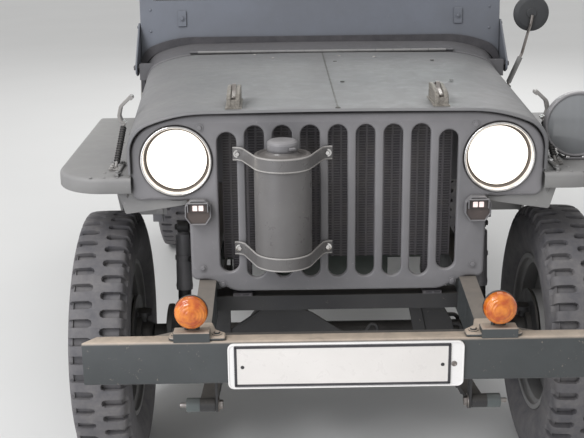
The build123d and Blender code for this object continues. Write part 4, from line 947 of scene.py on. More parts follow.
def make_hood_blocks():
    """Blocks that the folded windscreen rests on: two wooden cheeks round a filling, and a spring
    clip over them."""
    low, high = box("hood_blocks")
    blocks, clips = [], []
    mid = (low[1] + high[1]) / 2
    for s in SIDES:
        x0, x1 = sorted((s * high[0], s * (high[0] - 34)))
        side = [(low[1], 1052.0), (high[1], 1052.0), (high[1], high[2] - 2), (mid + 20, high[2]),
                (low[1] + 14, high[2] - 9), (low[1], high[2] - 17)]
        cheek = eased(side, [0.5, 0.5, 5, 30, 8, 5], True, 4)
        blocks += prism(cheek, x0, x0 + 11, "yz", 2.0) + prism(cheek, x1 - 11, x1, "yz", 2.0)
        blocks += prism(eased([(low[1] + 1, 1052.0), (high[1] - 1, 1052.0),
                               (high[1] - 1, high[2] - 14), (low[1] + 1, high[2] - 22)],
                              1.0, True, 2), x0 + 9, x1 - 9, "yz", 0.5)
        blocks += block(x0 - 4, x1 + 4, low[1] - 3, high[1] + 3, 1054, 1060.5, 1.5)
        x = (x0 + x1) / 2
        clip = eased([(x, low[1] + 10, high[2] - 18), (x, mid, high[2] - 9),
                      (x, mid + 22, high[2] + 6), (x, mid + 48, high[2] - 6)], [0, 30, 9, 0])
        clips += strip(clip, 10.0, 2.6, X)
        clips += rivet((x, low[1] + 14, high[2] - 16), (0, -0.2, 1), 4.0)
    piece("hood_rest_blocks", blocks, ash, "hood_body", ["hood_blocks"])
    piece("hood_block_clips", clips, steel, "hood_body")


def make_hood_hinge():
    """Piano hinge along the cowl: knuckles round the axis, riding by turns on hood and cowl."""
    axis_y, axis_z = cowl_y - 2, 1067.0
    for body, offset, name in (("hood_body", 0, "hood_hinge_knuckles"),
                               ("chassis", 1, "cowl_hinge_knuckles")):
        parts = []
        for k in range(offset, 14, 2):
            x0 = -420 + k * 60
            parts += tube([(x0 + 0.8, axis_y, axis_z), (x0 + 59.2, axis_y, axis_z)], 5.2, Z, 16)
        piece(name, parts, olive, body)


def make_fender(s, name):
    """Flat fender top running into its sloping rear leg, the outer edge rolled and turned down.
    The plan's front corner is a quarter ellipse; the lip follows the edge, square to the top."""
    y0, y1 = fender_low[1] - 8, fender_high[1]
    top, half, e = fender_high[2], fender_high[0], 11.0
    wide, deep, turn_down = 130.0, 140.0, 38.0
    bend_y, leg_z = front_axle[1] + 605, 500.0
    corner, run = 22, 10  # rows round the corner and along the straight side
    profile = eased([(y0 + e, top), (bend_y, top), (y1, leg_z)], [0, 70, 0], steps=14)
    a = np.linspace(0, math.pi / 2, corner)
    corner_y = y0 + e + (deep - e) * (1 - np.cos(a))
    corner_x = half - wide + (wide - e) * np.sin(a)
    rest = profile[profile[:, 0] > corner_y[-1] + 1]
    straight = np.linspace(corner_y[-1], rest[0, 0], run + 2)[1:-1]
    rows_y = np.concatenate([corner_y, straight, rest[:, 0]])
    rows_z = np.concatenate([np.full(corner + run, top), rest[:, 1]])
    leg = np.clip((top - rest[:, 1]) / (top - leg_z), 0, 1)
    outer = np.concatenate([corner_x, np.full(run, half - e), half - e - 30 * leg])
    inner = 526 + (548 - 526) * np.clip((rows_y - y0 - 40) / (y1 - y0 - 40), 0, 1)
    columns = 10
    v = np.linspace(0, 1, columns)
    skin = np.empty((len(rows_y), columns, 3))
    skin[..., 0] = inner[:, None] + (outer - inner)[:, None] * v
    skin[..., 1], skin[..., 2] = rows_y[:, None], rows_z[:, None]
    # Edge path: along the front, round the corner, down the side; out and down directions
    side = skin[1:, -1]
    path = np.vstack([skin[0], side])
    tangent = np.gradient(np.stack([rows_y, rows_z], -1), axis=0)
    tangent[:corner] = (1, 0)
    tangent = unit(tangent)
    out, down = np.zeros((2, len(path), 3))
    out[:columns], down[:columns] = -Y, -Z
    angle = np.concatenate([a[1:], np.full(len(side) - corner + 1, math.pi / 2)])
    out[columns:, :2] = unit(np.stack([np.sin(angle) * deep, -np.cos(angle) * wide], -1))
    down[columns:, 1], down[columns:, 2] = tangent[1:, 1], -tangent[1:, 0]
    roll = [(e * math.sin(t), e * (1 - math.cos(t))) for t in np.linspace(0, math.pi / 2, 6)]
    roll += [(e, turn_down), (e - 2.0, turn_down + 2.5), (e - 9.0, turn_down + 2.0)]
    lip_rows = [path + out * o + down * d for o, d in roll]
    parts = [surface(skin), surface(np.stack(lip_rows))]
    apron = np.empty((len(rows_y), 2, 3))
    apron[..., 0] = inner[:, None] + (34.0, 12.0)
    apron[..., 1] = rows_y[:, None]
    low_z = np.interp(rows_y, [y0, y0 + 40, y0 + 90, y0 + 260], [870.0, 800.0, 790.0, 745.0])
    low_z = np.minimum(low_z, rows_z - 1)
    apron[..., 2] = np.stack([rows_z - 0.5, low_z], -1)
    piece(f"fender_{name}", sided(parts, s), olive, wall=2.2,
          facing=Z, smooth=50, replaces=["front_fenders"] if s > 0 else [])
    piece(f"fender_apron_{name}", sided([surface(apron)], s), olive, wall=2.0, facing=(-s, 0, 0))
    # Splash plate behind the guard's ear: slanting lower edge, cut away round the lamp
    turn = np.radians(np.linspace(-103, -26, 16))
    round_lamp = headlamp[[0, 2]] + 106.0 * np.stack([np.cos(turn), np.sin(turn)], -1)
    splash = np.vstack([eased([(574, top - 2), (546, 786), (430, 803), (386, 810)],
                              [1, 6, 60, 4], steps=4), round_lamp])
    plate = prism(splash, grille_y + 9, grille_y + 12, "xz", 0.8)
    piece(f"fender_splash_{name}", sided(plate, s), olive)
    # Brace strip beside the guard and the row of screws along the joint
    brace = prism([(558, y0 + 16), (566, y0 + 16), (566, y0 + 150), (558, y0 + 150)], top - 1,
                  top + 7, "xy", 2.0)
    fixings = list(brace)
    for ahead in (30, 136):
        fixings += bolt((562, y0 + ahead, top + 7), Z, 12, 6)
    for k in range(6):
        fixings += rivet((600, y0 + 60 + 120 * k, top), Z, 5.0)
    for k in range(3):
        fixings += rivet((560 + 34 * k, y0 + 11, top), Z, 4.5)
    piece(f"fender_fixings_{name}", sided(fixings, s), olive)


# Wheels and tyres

def tyre_section():
    """Half section of the tyre from bead to shoulder: (out from the middle, radius)."""
    r = rim_radius
    points = [(53.2, r + 0.8), (54.5, r + 12), (62, r + 22), (75, r + 46), (79.3, r + 74),
              (78.5, r + 100), (74.5, r + 118)]
    return eased(points, [0, 3, 12, 26, 60, 40, 0], steps=3)


def tyre_shape(centre, side):
    """Cross-ply bar tread: 48 blocks a side, staggered by half a pitch. The tyre is a grid of
    angle by section point; the notches between the blocks sink the tread by their depth, and
    their inner ends are rounded by moving the end column outwards at the notch's two sides."""
    blocks, r = 48, tyre_radius
    fractions = np.array([0, 0.03, 0.08, 0.23, 0.38, 0.43, 0.46])
    notch = np.concatenate([fractions, fractions + 0.5])
    depth_at = np.tile([0, 1, 1, 1, 1, 1, 0], 2)
    round_at = np.tile([8, 8, 2.2, 0, 2.2, 8, 8], 2)
    first = np.concatenate([np.ones(7), np.zeros(7)])
    angle = (np.arange(blocks)[:, None] + notch).ravel() * 2 * math.pi / blocks
    sunk = {1: np.tile(depth_at * first, blocks), -1: np.tile(depth_at * (1 - first), blocks)}
    bend = {1: np.tile(round_at * first, blocks), -1: np.tile(round_at * (1 - first), blocks)}
    wall = np.tile(tyre_section(), (len(angle), 1, 1))
    # Buttress and tread, a row for each section point: its distance from the middle, what a
    # notch and a notch's rounded end add to that, its depth below the crown, its drop in a notch
    tread = np.array([(70.5, -5.0, 0, 26.0, 0), (71.5, -7.5, 0, 22.0, 0), (66.5, -7.5, 0, 8.5, 1.5),
                      (62.5, -5.0, 0, 4.0, 10.5), (52.0, 0, 0, 1.6, 13.4), (30.0, 0, 0, 0.5, 14.5),
                      (11.0, 0, 1, 0.1, 14.9), (9.6, 0, 1, 0, 1.0), (8.8, 0, 1, 0, 0)]).T
    along, radius = [], []
    for half in (-1, 1):
        d, b = sunk[half][:, None], bend[half][:, None]
        out = half * np.hstack([wall[..., 0], tread[0] + tread[1] * d + tread[2] * b])
        up = np.hstack([wall[..., 1], r - tread[3] - tread[4] * d])
        along.append(out[:, ::-half])
        radius.append(up[:, ::-half])
    inner = np.tile([(50.0, rim_radius + 1.0), (-50.0, rim_radius + 1.0)], (len(angle), 1, 1))
    along, radius = np.hstack([*along, inner[..., 0]]), np.hstack([*radius, inner[..., 1]])
    t = angle[:, None]
    points = np.stack([centre[0] + side * along, centre[1] + radius * np.cos(t),
                       centre[2] + radius * np.sin(t)], -1)
    return [surface(points, wrap_u=True, wrap_v=True)]


def wheel_shape(centre, side):
    """Pressed steel wheel: dished disc with a rolled rim, five nuts and a hub cap."""
    r = rim_radius
    rim = eased([(-58, r + 12), (-58, r - 3), (-50, r - 1), (-44, r - 3), (-40, r - 16),
                 (30, r - 16), (36, r - 3), (50, r - 1), (58, r - 3), (58, r + 12), (54, r + 12),
                 (53, r + 1), (-53, r + 1), (-54, r + 12)], 2.0, True, 3)
    disc = eased([(8, 46), (16, 92), (24, 106), (26, 118), (8, 150), (6, 180), (2, r - 15.5),
                  (-3, r - 15.5), (0, 180), (2, 149), (20, 116), (18, 107), (10, 94), (2, 46)], 3.0,
                 True, 3)
    hub = eased([(0, 0), (0, 46), (22, 46), (28, 40), (30, 33), (42, 31), (46, 24), (47, 0)], 2.5)
    drum = eased([(-53, 108), (-53, 120), (-10, 120), (-4, 112), (-2, 40), (-6, 40), (-12, 112)],
                 2.0, True, 3)
    axis = (side, 0, 0)
    parts = [lathe(rim, centre, axis, 84, True), lathe(disc, centre, axis, 84, True),
             lathe(hub, centre, axis, 48), lathe(drum, centre, axis, 64, True)]
    for k in range(5):
        t = 2 * math.pi * k / 5 + 0.3
        place = np.array(centre) + (side * 15, 70 * math.cos(t), 70 * math.sin(t))
        parts += bolt(place, axis, 22.0, 14.0)
    return parts


def make_wheels():
    """A tyre and a wheel on each axle's ends, and the spare, the same turned by 90 degrees."""
    for name, side, axle, body in (("front_left", 1, front_axle, "road_wheel_fl"),
                                   ("front_right", -1, front_axle, "road_wheel_fr"),
                                   ("rear_left", 1, rear_axle, "road_wheel_rl"),
                                   ("rear_right", -1, rear_axle, "road_wheel_rr")):
        centre = (side * wheel_x, axle[1], axle[2])
        piece(f"tread_{name}", tyre_shape(centre, side), tread_rubber, body,
              [f"tyre_{name}"], smooth=38)
        piece(f"disc_{name}", wheel_shape(centre, side), olive, body, [f"wheel_{name}"], smooth=40)
    centre = sum(box("spare_tyre")) / 2
    piece("tread_spare", turned(tyre_shape(centre, 1), centre, Z, 90), tread_rubber,
          replaces=["spare_tyre"], smooth=38)
    piece("disc_spare", turned(wheel_shape(centre, 1), centre, Z, 90), olive,
          replaces=["spare_wheel"], smooth=40)


# Springs, mirror and small fittings

def make_springs():
    """Packs of six leaves: each is a flat bar on the pack's curve, level over the axle and then
    rising by the power 1.8 of the distance. Each lower one is 15.5 % of the length shorter."""
    packs, clips, bushes, nuts = [], [], [], []
    spring_x, z_seat, leaf_pitch = 335.0, front_axle[2] - 46.0, 6.2
    for s in SIDES:
        x = s * spring_x
        for y_mid, back, z_a, ahead, z_b in ((front_axle[1], -470.0, 376.0, 440.0, 405.0),
                                             (rear_axle[1], -480.0, 415.0, 460.0, 405.0)):
            for k in range(6):
                t = np.linspace(-1, 1, 25) * (1 - k * 0.155)
                y = y_mid + np.where(t < 0, -back, ahead) * t
                climb = np.where(t < 0, z_a, z_b) - 6 - z_seat
                bow = np.maximum(np.abs(t) - 0.12, 0) ** 1.8 * 1.25
                z = z_seat - 3 - leaf_pitch * k + climb * bow
                packs += strip(np.stack([np.full(25, x), y, z], -1), 44.0, 5.6, X)
            for y, z in ((y_mid + back, z_a), (y_mid + ahead, z_b)):
                eye = eased([(-22, 8), (-22, 17), (22, 17), (22, 8)], 1.0, True, 2)
                packs.append(lathe(eye, (x, y, z), X, 28, True))
                clips.append(lathe([(-30, 0), (-30, 13), (-25, 15), (25, 15), (30, 13), (30, 0)],
                                   (x, y, z), X, 24))
                if y < grille_y:
                    bush = eased([(15, 0), (15, 17.5), (49, 17.5), (49, 0)], [0, 2, 2, 0])
                    bushes.append(lathe(bush, (x, y, z), (s, 0, 0), 36))
                    nuts += bolt((x + s * 49, y, z), (s, 0, 0), 12.0, 16.0)
                    nuts += bolt((x - s * 30, y, z), (-s, 0, 0), 24.0, 11.0)
                hangers, top = ((-26.0 * s,), 490.0) if y < grille_y else ((-26.0, 26.0), 512.0)
                plate = eased([(y - 15, z - 6), (y - 8, z - 17), (y + 8, z - 17),
                               (y + 15, z - 6), (y + 17, top), (y - 17, top)], 4.0, True, 4)
                for dx in hangers:
                    clips += prism(plate, x + dx - 3, x + dx + 3, "yz", 0.8)
            for dy in (-34.0, 34.0):
                loop = eased([(x - 27, y_mid + dy, z_seat - 48), (x - 27, y_mid + dy, z_seat + 86),
                              (x + 27, y_mid + dy, z_seat + 86), (x + 27, y_mid + dy, z_seat - 48)],
                             16.0, steps=6)
                clips += tube(loop, 6.0, Y, 10)
            clips += block(x - 36, x + 36, y_mid - 46, y_mid + 46, z_seat - 44, z_seat - 37, 2.0)
            for dx in (-27, 27):
                for dy in (-34, 34):
                    clips += bolt((x + dx, y_mid + dy, z_seat - 44), -Z, 16.0, 9.0, False)
    piece("spring_leaves", packs, black, replaces=["leaf_springs"])
    piece("spring_clips", clips, black)
    piece("shackle_bushes", bushes, bush_paint)
    piece("shackle_nuts", nuts, steel)


def make_dampers():
    """Telescopic dampers: a wide dust cover over the body, an eye at each end, and the bracket on
    the rail that carries the upper one."""
    tubes, covers = [], []
    for s in SIDES:
        for y_low, y_top, x, z_top in (
                (front_axle[1] + 60, front_axle[1] + 120, 430.0, 652.0),
                (rear_axle[1] - 60, rear_axle[1] - 180, 395.0, 567.0)):
            foot = np.array([s * x, y_low, front_axle[2] - 20])
            head = np.array([s * x, y_top, z_top])
            span = np.linalg.norm(head - foot)
            way = (head - foot) / span
            body = eased([(12, 0), (12, 12), (20, 19), (span * 0.55, 19), (span * 0.55, 0)],
                         [0, 3, 4, 1, 0])
            tubes.append(lathe(body, foot, way, 32))
            cover = eased([(span * 0.42, 18), (span * 0.42, 23), (span * 0.46, 24.5),
                           (span * 0.5, 23), (span - 22, 23), (span - 12, 12), (span - 12, 0)],
                          [0, 1, 1, 1, 5, 4, 0])
            covers.append(lathe(cover, foot, way, 36))
            band = eased([(-7, 22.5), (-7, 25.5), (7, 25.5), (7, 22.5)], 1.5, True, 3)
            grip = foot + way * span * 0.72
            covers.append(lathe(band, grip, way, 36, True))
            tubes += bolt(grip + (-s * 19, -18, 0), (-s, -0.8, 0), 11.0, 9.0)
            for eye in (foot, head):
                ring = eased([(-16, 6), (-16, 17), (16, 17), (16, 6)], 2.0, True, 3)
                tubes.append(lathe(ring, eye, X, 28, True))
                tubes += bolt(eye + (s * 16, 0, 0), (s, 0, 0), 17.0, 9.0)
            tubes += tube([(s * rail_outer, y_top, z_top), (s * (x - 16), y_top, z_top)], 9.0,
                          Z, 16)
            plate = eased([(y_top - 24, 542), (y_top + 24, 542), (y_top + 20, z_top + 14),
                           (y_top - 20, z_top + 14)], [4, 4, 14, 14], True, 5)
            tubes += prism(plate, s * rail_outer, s * (rail_outer + 8), "yz", 1.2)
            tubes += block(s * 357.0, s * (x - 14), y_low - 20, y_low + 20, front_axle[2] - 38,
                           front_axle[2] - 8, 3.0)
    piece("damper_bodies", tubes, black, replaces=["dampers"])
    piece("damper_covers", covers, guard_paint)


def make_mirror():
    """Round mirror on a bent rod in a clamp sleeve: pressed back, bright glass to the rear."""
    cy = cowl_y + 84
    x, z = 722.0, 1176.0
    back = eased([(-16, 0), (-16, 20), (-13, 46), (-6, 60), (2, 61), (6, 60), (6, 55)], 2.0)
    piece("mirror_back", [lathe(back, (x, cy, z), Y, 56)], mirror_paint, replaces=["mirror"],
          smooth=50)
    piece("mirror_glass", [lathe([(3.5, 0), (3.5, 56), (5.0, 56), (5.0, 0)], (x, cy, z), Y,
                                 56)], chrome)
    path = eased([(651, cy, 920), (660, cy, 960), (697, cy, 1038), (711, cy - 12, 1110),
                  (717, cy - 23, 1140), (721, cy - 24, 1172)], [0, 24, 24, 24, 20, 0], steps=6)
    piece("mirror_rod", tube(path, 5.0, Y, 12), steel)
    clamp = prism(circle(17, 24) + (720, 1178), cy - 20, cy - 14, "xz", 1.5)
    for sx, sz in ((712, 1184), (728, 1179)):
        clamp += rivet((sx, cy - 17, sz), -Y, 4.5)
    piece("mirror_clamp", clamp, mirror_paint)
    sleeve = tube([(655, cy, 938), (692, cy, 1026)], 9.0, Y, 16)
    sleeve += tube([(684, cy - 14, 1006), (684, cy + 14, 1006)], 4.0, Z, 8)
    sleeve += prism([(602, cy - 22), (614, cy + 22), (662, cy + 12), (662, cy - 12)], 918, 930,
                    "xy", 2.0)
    sleeve += bolt((630, cy, 930), Z, 12, 6)
    piece("mirror_bracket", sleeve, olive)


def make_drive_lamp():
    """Unlit driving lamp on the left fender: deep bowl, bowed glass in a broad rolled rim that
    a screw draws together below."""
    low, high = box("drive_lamp")
    x = (low[0] + high[0]) / 2
    z = high[2] - 87.0
    y = grille_y + 147.0
    c = (x, y, z)
    shell = eased([(0, 74), (4, 80), (12, 78), (28, 66), (44, 46), (56, 26), (62, 12), (62, 0)],
                  [0, 2, 4, 12, 12, 12, 6, 0], False, 5)
    parts = [lathe(shell, c, Y, 64), lathe([(0, 74), (-2, 0)], c, Y, 64)]
    band = eased([(-20, 78), (-24, 80), (-25, 84), (-22, 87), (-2, 87), (4, 85), (4, 79)],
                 2.0, True, 4)
    parts.append(lathe(band, c, Y, 80, True))
    parts += block(x - 11, x + 11, y - 12, y + 36, z - 90, z - 70, 3.0)
    parts += block(x - 13, x + 13, y - 14, y + 40, high[2] - 175, z - 84, 4.0)
    parts += prism(rectangle(x - 32, x + 32, y - 26, y + 52, 12.0), high[2] - 181 + 0.2,
                   high[2] - 174, "xy", 1.5)
    piece("drive_lamp_shell", parts, guard_paint, replaces=["drive_lamp"], smooth=40)
    bolts = []
    for dx in (-22, 22):
        for dy in (-16, 42):
            bolts += bolt((x + dx, y + dy, high[2] - 174), Z, 12, 6)
    bolts += tube([(x - 62, y - 30, z - 66), (x - 52, y - 26, z - 76)], 5.0, Y, 12)
    bolts += block(x - 66, x - 52, y - 28, y - 14, z - 76, z - 62, 2.0)
    piece("drive_lamp_bolts", bolts, chrome)
    t = np.linspace(0, 1, 14)
    bowl = np.stack([-22 - 14 * (1 - t ** 2), 79 * t], -1)
    piece("drive_lamp_glass", [lathe(bowl, c, Y, 64),
                               lathe([(-22, 79), (-18, 79), (-18, 0)], c, Y, 64)], unlit_lens)


def make_catches():
    """Sprung catch beside each hood edge: post, coil spring and bent lever plate."""
    low, high = box("hood_catches")
    y = (low[1] + high[1]) / 2
    base = low[2]
    foot_at = np.array([577.0, y - 112.0, base + 4.0])
    head_at = np.array([564.0, y - 2.0, base + 103.0])
    parts = prism(rectangle(562, 592, foot_at[1] - 24, foot_at[1] + 20, 5.0), base + 0.2, base + 5,
                  "xy", 1.2)
    parts += tube([foot_at, head_at], 4.0, X, 10)
    way = (head_at - foot_at) / np.linalg.norm(head_at - foot_at)
    beside = np.cross(way, (1.0, 0, 0))
    turns = 15
    t = np.linspace(0, 1, turns * 14)[:, None]
    turn = t * turns * 2 * math.pi
    coil = (foot_at + (head_at - foot_at) * (0.1 + 0.78 * t) + 6.5 * np.cos(turn) * (1.0, 0, 0)
            + 6.5 * np.sin(turn) * beside)
    spring = tube(coil, 2.4, way, 7)
    for bx, by in ((585, foot_at[1] - 16), (585, foot_at[1] + 12)):
        parts += bolt((bx, by, base + 5), Z, 11.0, 6.0)
    lever = eased([(560, base + 98), (572, base + 104), (577, base + 120), (571, base + 146),
                   (543, base + 172)], [0, 8, 12, 16, 0], steps=6)
    lever = np.stack([lever[:, 0], np.full(len(lever), y), lever[:, 1]], -1)
    parts += strip(lever, 25.0, 9.0, Y)
    parts += tube([(543, y - 13, base + 169), (543, y + 13, base + 169)], 6.5, Z, 12)
    for s, name in ((1, "left"), (-1, "right")):
        piece(f"catch_spring_{name}", sided(spring, s), black)
        piece(f"hood_catch_{name}", sided(parts, s), bead_paint,
              replaces=["hood_catches"] if s > 0 else [])


# Windscreen, tub, controls and seats

pivot = np.array([0.0, cowl_y + 22, 1014.0])


def leaned(parts):
    """Parts of the upright windscreen leant back six degrees about its pivots."""
    return turned(parts, pivot, X, -6)


def make_windscreen():
    """Folding frame: one pressed sheet below, boxed posts and rails round two panes, side arms
    to the pivots. It is built upright, then leant back."""
    half, top, y0 = 626.0, 1745.0, pivot[1] + 105
    y1 = y0 + 24
    pane_low, pane_high, wiper_z = 1240, 1715, 1730
    bite = arch(616.0, 1112.0, 994.0)
    upper = eased([(half, 994.0), (half, top), (-half, top), (-half, 994.0)], [0, 62, 62, 0],
                  steps=9)
    outline = np.vstack([upper, bite[::-1]])
    hole = rectangle(-596, 596, pane_low, pane_high, 26.0, 6)
    panes = [rectangle(x0, x1, pane_low, pane_high, 26.0, 6) for x0, x1 in ((14, 596), (-596, -14))]
    parts = pierced(outline, panes, y0, y0 + 7, "xz", 1.4)
    ring = rectangle(-half + 1, half - 1, 1214, top - 1, 60.0, 9)
    parts += pierced(ring, [shrunk(hole, -1.0)], y0 + 7, y1, "xz", 2.5)
    for s in SIDES:
        parts += block(s * 599, s * (half - 1), y0 + 7, y1, 996, 1216, 2.0)
    parts += block(-12, 12, y0 + 5, y1 - 3, 1236, 1719, 2.0)
    # The frame takes the bluer windscreen copy of the paint, its tint painted sky light in shade
    piece("screen_frame", leaned(parts), screen_sky_tinted_paint, "windscreen",
          ["windscreen_frame"], smooth=35)
    # Each arm swells towards its pivot; the pin's bore keeps its clearance
    arms, studs = [], []
    for s in SIDES:
        side = [(y1, 1164.0), (y1 - 2, 1050.0), (pivot[1] + 40, 990.0), (pivot[1] + 12, 986.0),
                (pivot[1] - 18, 996.0), (pivot[1] - 18, 1026.0), (y0 + 2, 1164.0)]
        side = eased(side, [4, 30, 20, 14, 12, 14, 4], True, 6)
        bore = circle(8.2, 40) + (pivot[1], pivot[2])
        arms += pierced(side, [bore], *sorted((s * (half + 1), s * (half + 7))), "yz", 1.2)
        for z in (1070, 1110, 1150):
            studs += bolt((s * (half + 7), y1 - 12, z), (s, 0, 0), 12.0, 5.0)
    piece("screen_arms", leaned(arms + studs), screen_sky_tinted_paint, "windscreen")
    glass, rubbers, rims = [], [], []
    for pane_ring in panes:
        glass += prism(shrunk(pane_ring, 1.0), y0 + 9, y0 + 14, "xz", 0.5)
        for d in (y0 + 5.5, y0 + 14.2):
            rubbers += pierced(shrunk(pane_ring, 0.5), [shrunk(pane_ring, 10.0)], d, d + 3.2,
                               "xz", 1.0)
        rims += pierced(shrunk(pane_ring, 10.5), [shrunk(pane_ring, 16.0)], y0 + 13.8, y0 + 17.5,
                        "xz", 1.0)
    piece("screen_panes", leaned(glass), clear_glass, "windscreen", ["windscreen_glass"])
    piece("screen_rubbers", leaned(rubbers), wall_rubber, "windscreen")
    piece("screen_rims", leaned(rims), screen_sky_tinted_paint, "windscreen")
    wipers = []
    for x in (-310.0, 310.0):
        wipers += tube([(x, y0 - 9, wiper_z), (x, y1 + 12, wiper_z)], 5.0, Z, 12)
        wipers.append(lathe([(0, 0), (0, 11), (5, 13), (12, 9), (14, 0)], (x, y1 + 4, wiper_z),
                            Y, 24))
        arm = eased([(x, y0 - 8, wiper_z), (x + 30, y0 - 9, 1650), (x + 78, y0 - 3, 1545)],
                    [0, 60, 0], steps=5)
        wipers += strip(arm, 7.0, 2.4, Y)
        wipers += strip([(x + 22, y0 + 3, 1672), (x + 130, y0 + 3, 1420)], 6.0, 5.0, Y)
    piece("screen_wipers", leaned(wipers), black, "windscreen")
    latches = []
    for s in SIDES:
        latches += block(s * 480 - 14, s * 480 + 14, y0 - 5, y0 + 1, 1150, 1205, 2.0)
        latches += bolt((s * 480, y0 - 5, 1178), -Y, 13.0, 6.0)
        for z in (1135, 1208):
            latches += rivet((s * 590, y0, z), -Y, 5.0)
    piece("screen_latches", leaned(latches), screen_sky_tinted_paint, "windscreen")


def make_cowl_skin():
    """Arched sheet over the cowl and its sides: sections that widen from 598 to 613 mm and climb
    22 mm to meet the windscreen's rubber, with a flange turned in at the front and the rear."""
    table = ([(4.0, 32.0), (4.0, 3.0), (5.2, 0.8), (8.0, 0.0)]
             + [(ahead, 0.0) for ahead in np.linspace(20, 146, 8)]
             + [(151.0, 0.8), (154.5, 4.0), (154.5, 22.0)])
    rows = []
    for ahead, inset in table:
        share = ahead / 154.5
        x, z = crowned(598.0 + 15.0 * share, 1062.0 + 22.0 * share, tub_low[2] + 2, inset)
        rows.append(np.stack([x, np.full(len(x), cowl_y + ahead), z], -1))
    # The cowl skin takes the darker cowl copy of the paint, whose darkness is painted shade
    piece("cowl_skin", [surface(np.stack(rows))], cowl_shaded_paint, wall=1.6, facing=Z, smooth=50)


def make_screen_seal():
    """Rubber strip round the windscreen's foot, thinner down its sides."""
    y = pivot[1] + 101.0
    ring = np.vstack([arch(629.0, 1114.0, 925.0), arch(614.0, 1086.5, 925.0)[::-1]])
    seal = leaned(prism(ring, y - 7, y + 7, "xz", 1.5))
    piece("screen_seal", seal, wall_rubber, "windscreen")


def make_dash():
    """Five round instruments, each a bezel, a dial, nine ticks and a hand, six knobs below them,
    and the cowl's corner bolts."""
    bezels, dials, needles = [], [], []
    for x, z, r in ((0, 985, 40), (-92, 1002, 27), (-92, 942, 27), (92, 1002, 27),
                    (92, 942, 27)):
        c = (x, dash_y, z)
        bezels.append(lathe(eased([(0, r - 1), (0, r + 5), (5, r + 4), (7, r), (5, r - 3),
                                   (2, r - 3)], 1.2, True, 3), c, Y, 40, True))
        dials.append(lathe([(0, r - 2), (1.5, r - 3), (1.5, 0)], c, Y, 40))
        for k in range(9):
            a = math.radians(-130 + 32.5 * k)
            u = np.array([math.sin(a), 0, math.cos(a)])
            tick = [c + u * (r * reach) + (0, 2.2, 0) for reach in (0.7, 0.86)]
            needles += strip(tick, 2.4, 0.8, np.cross(u, Y))
        u = np.array([math.sin(-0.8), 0, math.cos(-0.8)])
        hand = [c + u * (r * reach) + (0, 3, 0) for reach in (-0.15, 0.62)]
        needles += strip(hand, 2.6, 1.0, np.cross(u, Y))
    for k, x in enumerate((-230, -195, -160, 160, 195, 230)):
        bezels.append(lathe([(0, 0), (0, 9), (3, 9), (4, 4), (12, 4), (14, 8), (20, 8), (22, 0)],
                            (x, dash_y, 960 + 20 * (k % 2)), Y, 24))
    plate = block(-140, 140, dash_y - 0.5, dash_y + 1.2, 900, 1045, 1.0, "xz", 14.0)
    piece("dash_plate", plate, black)
    piece("dash_bezels", bezels, chrome)
    piece("dash_dials", dials, black)
    piece("dash_marks", needles, plate_white)
    bolts = []
    for s in SIDES:
        for z in (560, 700, 840):
            bolts += bolt((s * 601, cowl_y + 30, z), (s, 0, 0), 14.0, 6.0)
    piece("cowl_bolts", bolts, olive)


def make_hand_wheel():
    """Wheel rim with finger swells, three pairs of rods to its hub; column, clamp and box. The
    rim's section is a circle whose radius swells 48 times round the rim, on its inner side."""
    hub = np.array([296.0, dash_y + 330, 1110.0])
    tilt = math.radians(38)
    axis = np.array([0.0, math.cos(tilt), math.sin(tilt)])
    first, other = np.array([0.0, -axis[2], axis[1]]), np.array([1.0, 0.0, 0.0])
    u = np.linspace(0, 2 * math.pi, 181)[:-1, None, None]
    v = np.linspace(0, 2 * math.pi, 17)[None, :-1, None]
    swell = 10.0 + 1.0 * np.cos(u * 48) * np.clip(-np.cos(v - 0.6), 0, 1)
    spoke = np.cos(u) * first + np.sin(u) * other
    rim = hub + spoke * (208 + swell * np.cos(v)) + axis * swell * np.sin(v)
    piece("wheel_rim", [surface(rim, wrap_u=True, wrap_v=True)], dark_rim, "hand_wheel",
          ["steering_wheel"])
    rods = []
    for k in range(3):
        a = math.radians(90 + 120 * k)
        out = math.cos(a) * first + math.sin(a) * other
        beside = np.cross(axis, out)
        for shift in (-9.0, 9.0):
            path = [hub - axis * 14 + beside * shift * 0.6,
                    hub + out * 90 - axis * 8 + beside * shift, hub + out * 203 + beside * shift]
            rods += tube(eased(path, [0, 60, 0], steps=5), 3.6, axis, 10)
    boss = [(-59, 0), (-59, 24), (-20, 24), (-14, 32), (-4, 34), (2, 30), (6, 22), (9, 12), (10, 0)]
    rods.append(lathe(eased(boss, [0, 1, 6, 6, 3, 3, 3, 3, 0]), hub, axis, 48))
    piece("wheel_hub", rods, dark_rim, "hand_wheel")
    end = hub - axis * 61
    low = hub - axis * 868
    column = tube([low, end], 19.0, X, 28)
    column.append(lathe([(-30, 19), (-28, 25), (0, 25), (2, 19)], end - axis * 40, axis, 32))
    clamp = eased([(-14, 18), (-14, 26), (14, 26), (14, 18)], 2.0, True, 3)
    column.append(lathe(clamp, hub - axis * 300, axis, 32, True))
    box_x = 318.0
    case = np.array([box_x - 31, low[1] + 20, low[2] + 10])
    body = eased([(-70, 0), (-70, 34), (-60, 44), (20, 46), (50, 38), (86, 26), (96, 19)],
                 [0, 6, 10, 10, 10, 8, 0])
    column.append(lathe(body, case - (0, 0, 10), axis, 36))
    column += block(box_x - 62, box_x - 1, case[1] - 46, case[1] + 46, case[2] - 46, case[2] + 30,
                    4.0, "yz", 12.0)
    piece("column_tube", column, black, replaces=["steering_column"])


